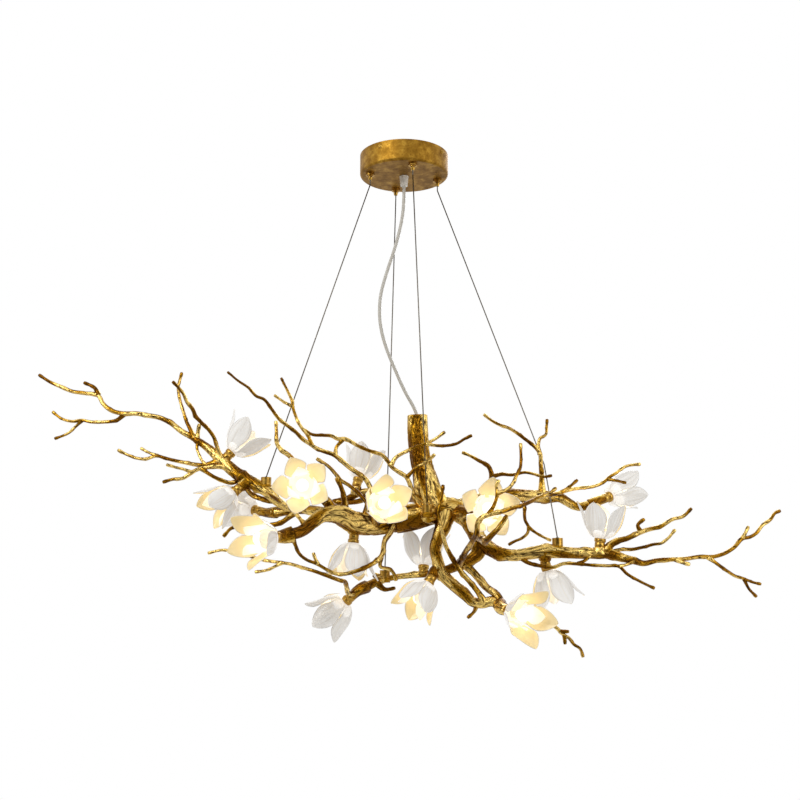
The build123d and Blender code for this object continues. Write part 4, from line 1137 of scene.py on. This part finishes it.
def painted_floor():
    """Matt floor paint: pale where it is lit, and paler to the eye, so that it meets the white surround."""
    made, tree = start("painted_floor")
    share = add(tree, "ShaderNodeMath", {"operation": "MULTIPLY"}, _0=sight(tree), _1=0.6).outputs[0]
    paint = add(tree, "ShaderNodeBsdfPrincipled", Base_Color=linear("#FAF9F7"), Roughness=0.7).outputs["BSDF"]
    white = add(tree, "ShaderNodeEmission", Color=linear("#FFFFFF"), Strength=1.0).outputs[0]
    both = add(tree, "ShaderNodeMixShader", _0=share, _1=paint, _2=white)
    add(tree, "ShaderNodeOutputMaterial", Surface=both.outputs[0])
    return made


def dark_cloth():
    """Black felt: it gives back almost no light."""
    made, tree = start("dark_cloth")
    shader = add(tree, "ShaderNodeBsdfPrincipled", Base_Color=linear("#2B2926"), Roughness=0.9)
    add(tree, "ShaderNodeOutputMaterial", Surface=shader.outputs["BSDF"])
    return made


def stage_sheet(name, corners, finish):
    """A flat sheet of the studio, which isn't part of the object."""
    mesh = bpy.data.meshes.new(name)
    mesh.from_pydata(corners, [], [range(len(corners))])
    mesh.materials.append(finish)
    made = bpy.data.objects.new(name, mesh)
    bpy.context.scene.collection.objects.link(made)
    return made


CAST_BRASS = cast_brass()
TURNED_BRASS = turned_brass()
SPUN_BRASS = spun_brass()
PORCELAIN = porcelain_with_painted_glow()
LIT_GLASS = lit_glass()
STEEL_WIRE = stranded_steel()

# Dull grey zinc with a faint spangle, soft white nylon, greyer PVC and matt cream steatite
PRESSED_STEEL = satin("zinc_plated_steel", "#B4B3AE", "#8E8D89", 1.0, 0.4, 0.003)
PALE_NYLON = satin("moulded_nylon", "#F8F5EE", "#E9E4DA", 0.0, 0.4, 0.002)
CORD_PVC = satin("pale_pvc_sheath", "#D9D5CC", "#C3BEB3", 0.0, 0.35, 0.0016)
STEATITE = satin("fired_steatite", "#F2ECDD", "#DED4BF", 0.0, 0.6, 0.0012)

# CAD nodes whose shape is right only take a finish.
finishes = {
    "canopy_cover": SPUN_BRASS, "canopy_side_screws": TURNED_BRASS, "ceiling_bracket": PRESSED_STEEL,
    "terminal_block": PALE_NYLON, "cord_gland": PALE_NYLON, "gripper_bodies": TURNED_BRASS,
    "wire_anchors": TURNED_BRASS, "lamp_holders": STEATITE,
}
finishes.update({f"gripper_tip_{side}": TURNED_BRASS for side in ANCHORS})
finishes.update({f"bulb_{number:02}": LIT_GLASS for number in range(1, len(BLOSSOMS) + 1)})
for node, finish in finishes.items():
    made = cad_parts[node]
    made.data.materials.clear()
    made.data.materials.append(finish)

# Branches, each with its stems, posts and wire bosses
seed = 0
for bough, routes in BOUGHS.items():
    skin = Skin()
    for route in routes:
        seed += 1
        bark(skin, *stations(route), seed, cut_log=route.points[0] == TRUNK_TOP)
    for blossom in (one for one in BLOSSOMS if one.bough == bough):
        seed += 1
        if blossom.stem:
            bark(skin, *stem_line(blossom), seed)
        foot, _, _, facing = seat(blossom)
        plain(skin, lathe(foot, facing, POST_PROFILE, TURNED_COLUMNS), 1, POST_POLISH)
    for carrier, place in ANCHORS.values():
        if carrier == bough:
            top = spot(place) - (0, 0, ANCHOR_HEIGHT)
            plain(skin, lathe(top, (0, 0, 1), BOSS_PROFILE, TURNED_COLUMNS), 0, BOSS_POLISH)
    skin.piece(f"{bough}_bark", "branch_frame", (CAST_BRASS, TURNED_BRASS), "branch_brass", bough)

# Porcelain blossoms
for number, blossom in enumerate(BLOSSOMS, 1):
    skin = Skin()
    blossom_seat = seat(blossom)
    porcelain_cup(skin, blossom_seat)
    for whorl in WHORLS:
        for i in range(whorl.petals):
            angle = 360 / whorl.petals * i + whorl.first_angle
            seed = number * whorl.blossom_step + i * whorl.petal_step
            petal(skin, blossom_seat, whorl.ribs, angle, seed, whorl.glow)
    skin.piece(f"blossom_{number:02}", "branch_frame", (PORCELAIN,), "porcelain", f"shade_{number:02}")

# Wires: a straight lead in the gripper, and a run down to its cup
for side, (_, place) in ANCHORS.items():
    angle = radians(GRIPPER_ANGLES[side])
    x, y = GRIPPER_CIRCLE_R * np.cos(angle), GRIPPER_CIRCLE_R * np.sin(angle)
    end = spot(place) + (0, 0, WIRE_END_RISE)
    bends = [spot(bend) for bend in WIRE_BENDS[side]]
    skin = Skin()
    skin.grid(tube(np.array([(x, y, WIRE_TOP_Z), (x, y, WIRE_BEND_Z)]), WIRE_R, WIRE_COLUMNS))
    skin.piece(f"wire_lead_{side}", "canopy", (STEEL_WIRE,), "steel", f"suspension_wire_{side}")
    skin = Skin()
    skin.grid(tube(np.array([(x, y, WIRE_BEND_Z), *bends, end]), WIRE_R, WIRE_COLUMNS))
    skin.grid(lathe(end + (0, 0, FERRULE_RISE), (0, 0, 1), FERRULE_PROFILE, FERRULE_COLUMNS))
    wire = skin.piece(f"wire_{side}", "canopy", (STEEL_WIRE,), "steel", f"suspension_wire_{side}")
    top, bottom = WIRE_BEND_Z * MM, (end[2] + FERRULE_RISE - FERRULE_LENGTH) * MM
    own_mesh(wire)

# The power cord, which hangs in a slack bow
cord_places = spots(CORD_ROUTE, np.zeros(len(CORD_ROUTE)))
points = curve_points(cord_places)
skin = Skin()
skin.grid(tube(points, CORD_R, CORD_COLUMNS))
cord = skin.piece("power_cord_sheath", "canopy", (CORD_PVC,), "cord_plastic", "power_cord")
top, bottom = cord_places[0][2] * MM, cord_places[-1][2] * MM
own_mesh(cord)

# Studio: a pale floor below, out of the camera's view
stage_sheet(
    "floor",
    [(x * FLOOR_REACH, y * FLOOR_REACH, FLOOR_Z) for x, y in ((-1, -1), (1, -1), (1, 1), (-1, 1))],
    painted_floor(),
)

# A dark cloth behind the camera, out of its sight, gives the metal something dark to mirror.
left, right = (-CLOTH_REACH, CLOTH_Y), (CLOTH_REACH, CLOTH_Y)
cloth = stage_sheet(
    "cloth",
    [(*left, CLOTH_TOP_Z), (*right, CLOTH_TOP_Z), (*right, FLOOR_Z), (*left, FLOOR_Z)],
    dark_cloth(),
)
cloth.visible_camera = False

# The surround is white to the eye and lights the object at a plain level.
world = bpy.data.worlds.new("studio")
bpy.context.scene.world = world
world.use_nodes = True
tree = world.node_tree
tree.nodes.clear()
soft = add(tree, "ShaderNodeBackground", Color=linear("#F4F2EE"), Strength=0.45).outputs[0]
white = add(tree, "ShaderNodeBackground", Color=linear("#FFFFFF"), Strength=1.0).outputs[0]
both = add(tree, "ShaderNodeMixShader", _0=sight(tree), _1=soft, _2=white)
add(tree, "ShaderNodeOutputWorld", Surface=both.outputs[0])

for one in LAMPS:
    data = bpy.data.lights.new(one.name, "AREA")
    data.shape = "DISK"
    data.size = one.size
    data.energy = one.power
    lamp = bpy.data.objects.new(one.name, data)
    bpy.context.scene.collection.objects.link(lamp)
    lamp.location = one.place
    aim = LAMP_AIM - np.array(one.place)
    lamp.rotation_euler = (np.arctan2(np.hypot(aim[0], aim[1]), -aim[2]), 0, np.arctan2(aim[0], -aim[1]) + pi)

camera_data = bpy.data.cameras.new("camera")
camera_data.lens = CAMERA_LENS
camera_data.sensor_width = CAMERA_SENSOR
camera = bpy.data.objects.new("camera", camera_data)
bpy.context.scene.collection.objects.link(camera)
camera.location = CAMERA_PLACE
camera.rotation_euler = (radians(90 + CAMERA_TILT), 0, 0)
bpy.context.scene.camera = camera
bpy.context.scene.view_settings.view_transform = "Standard"
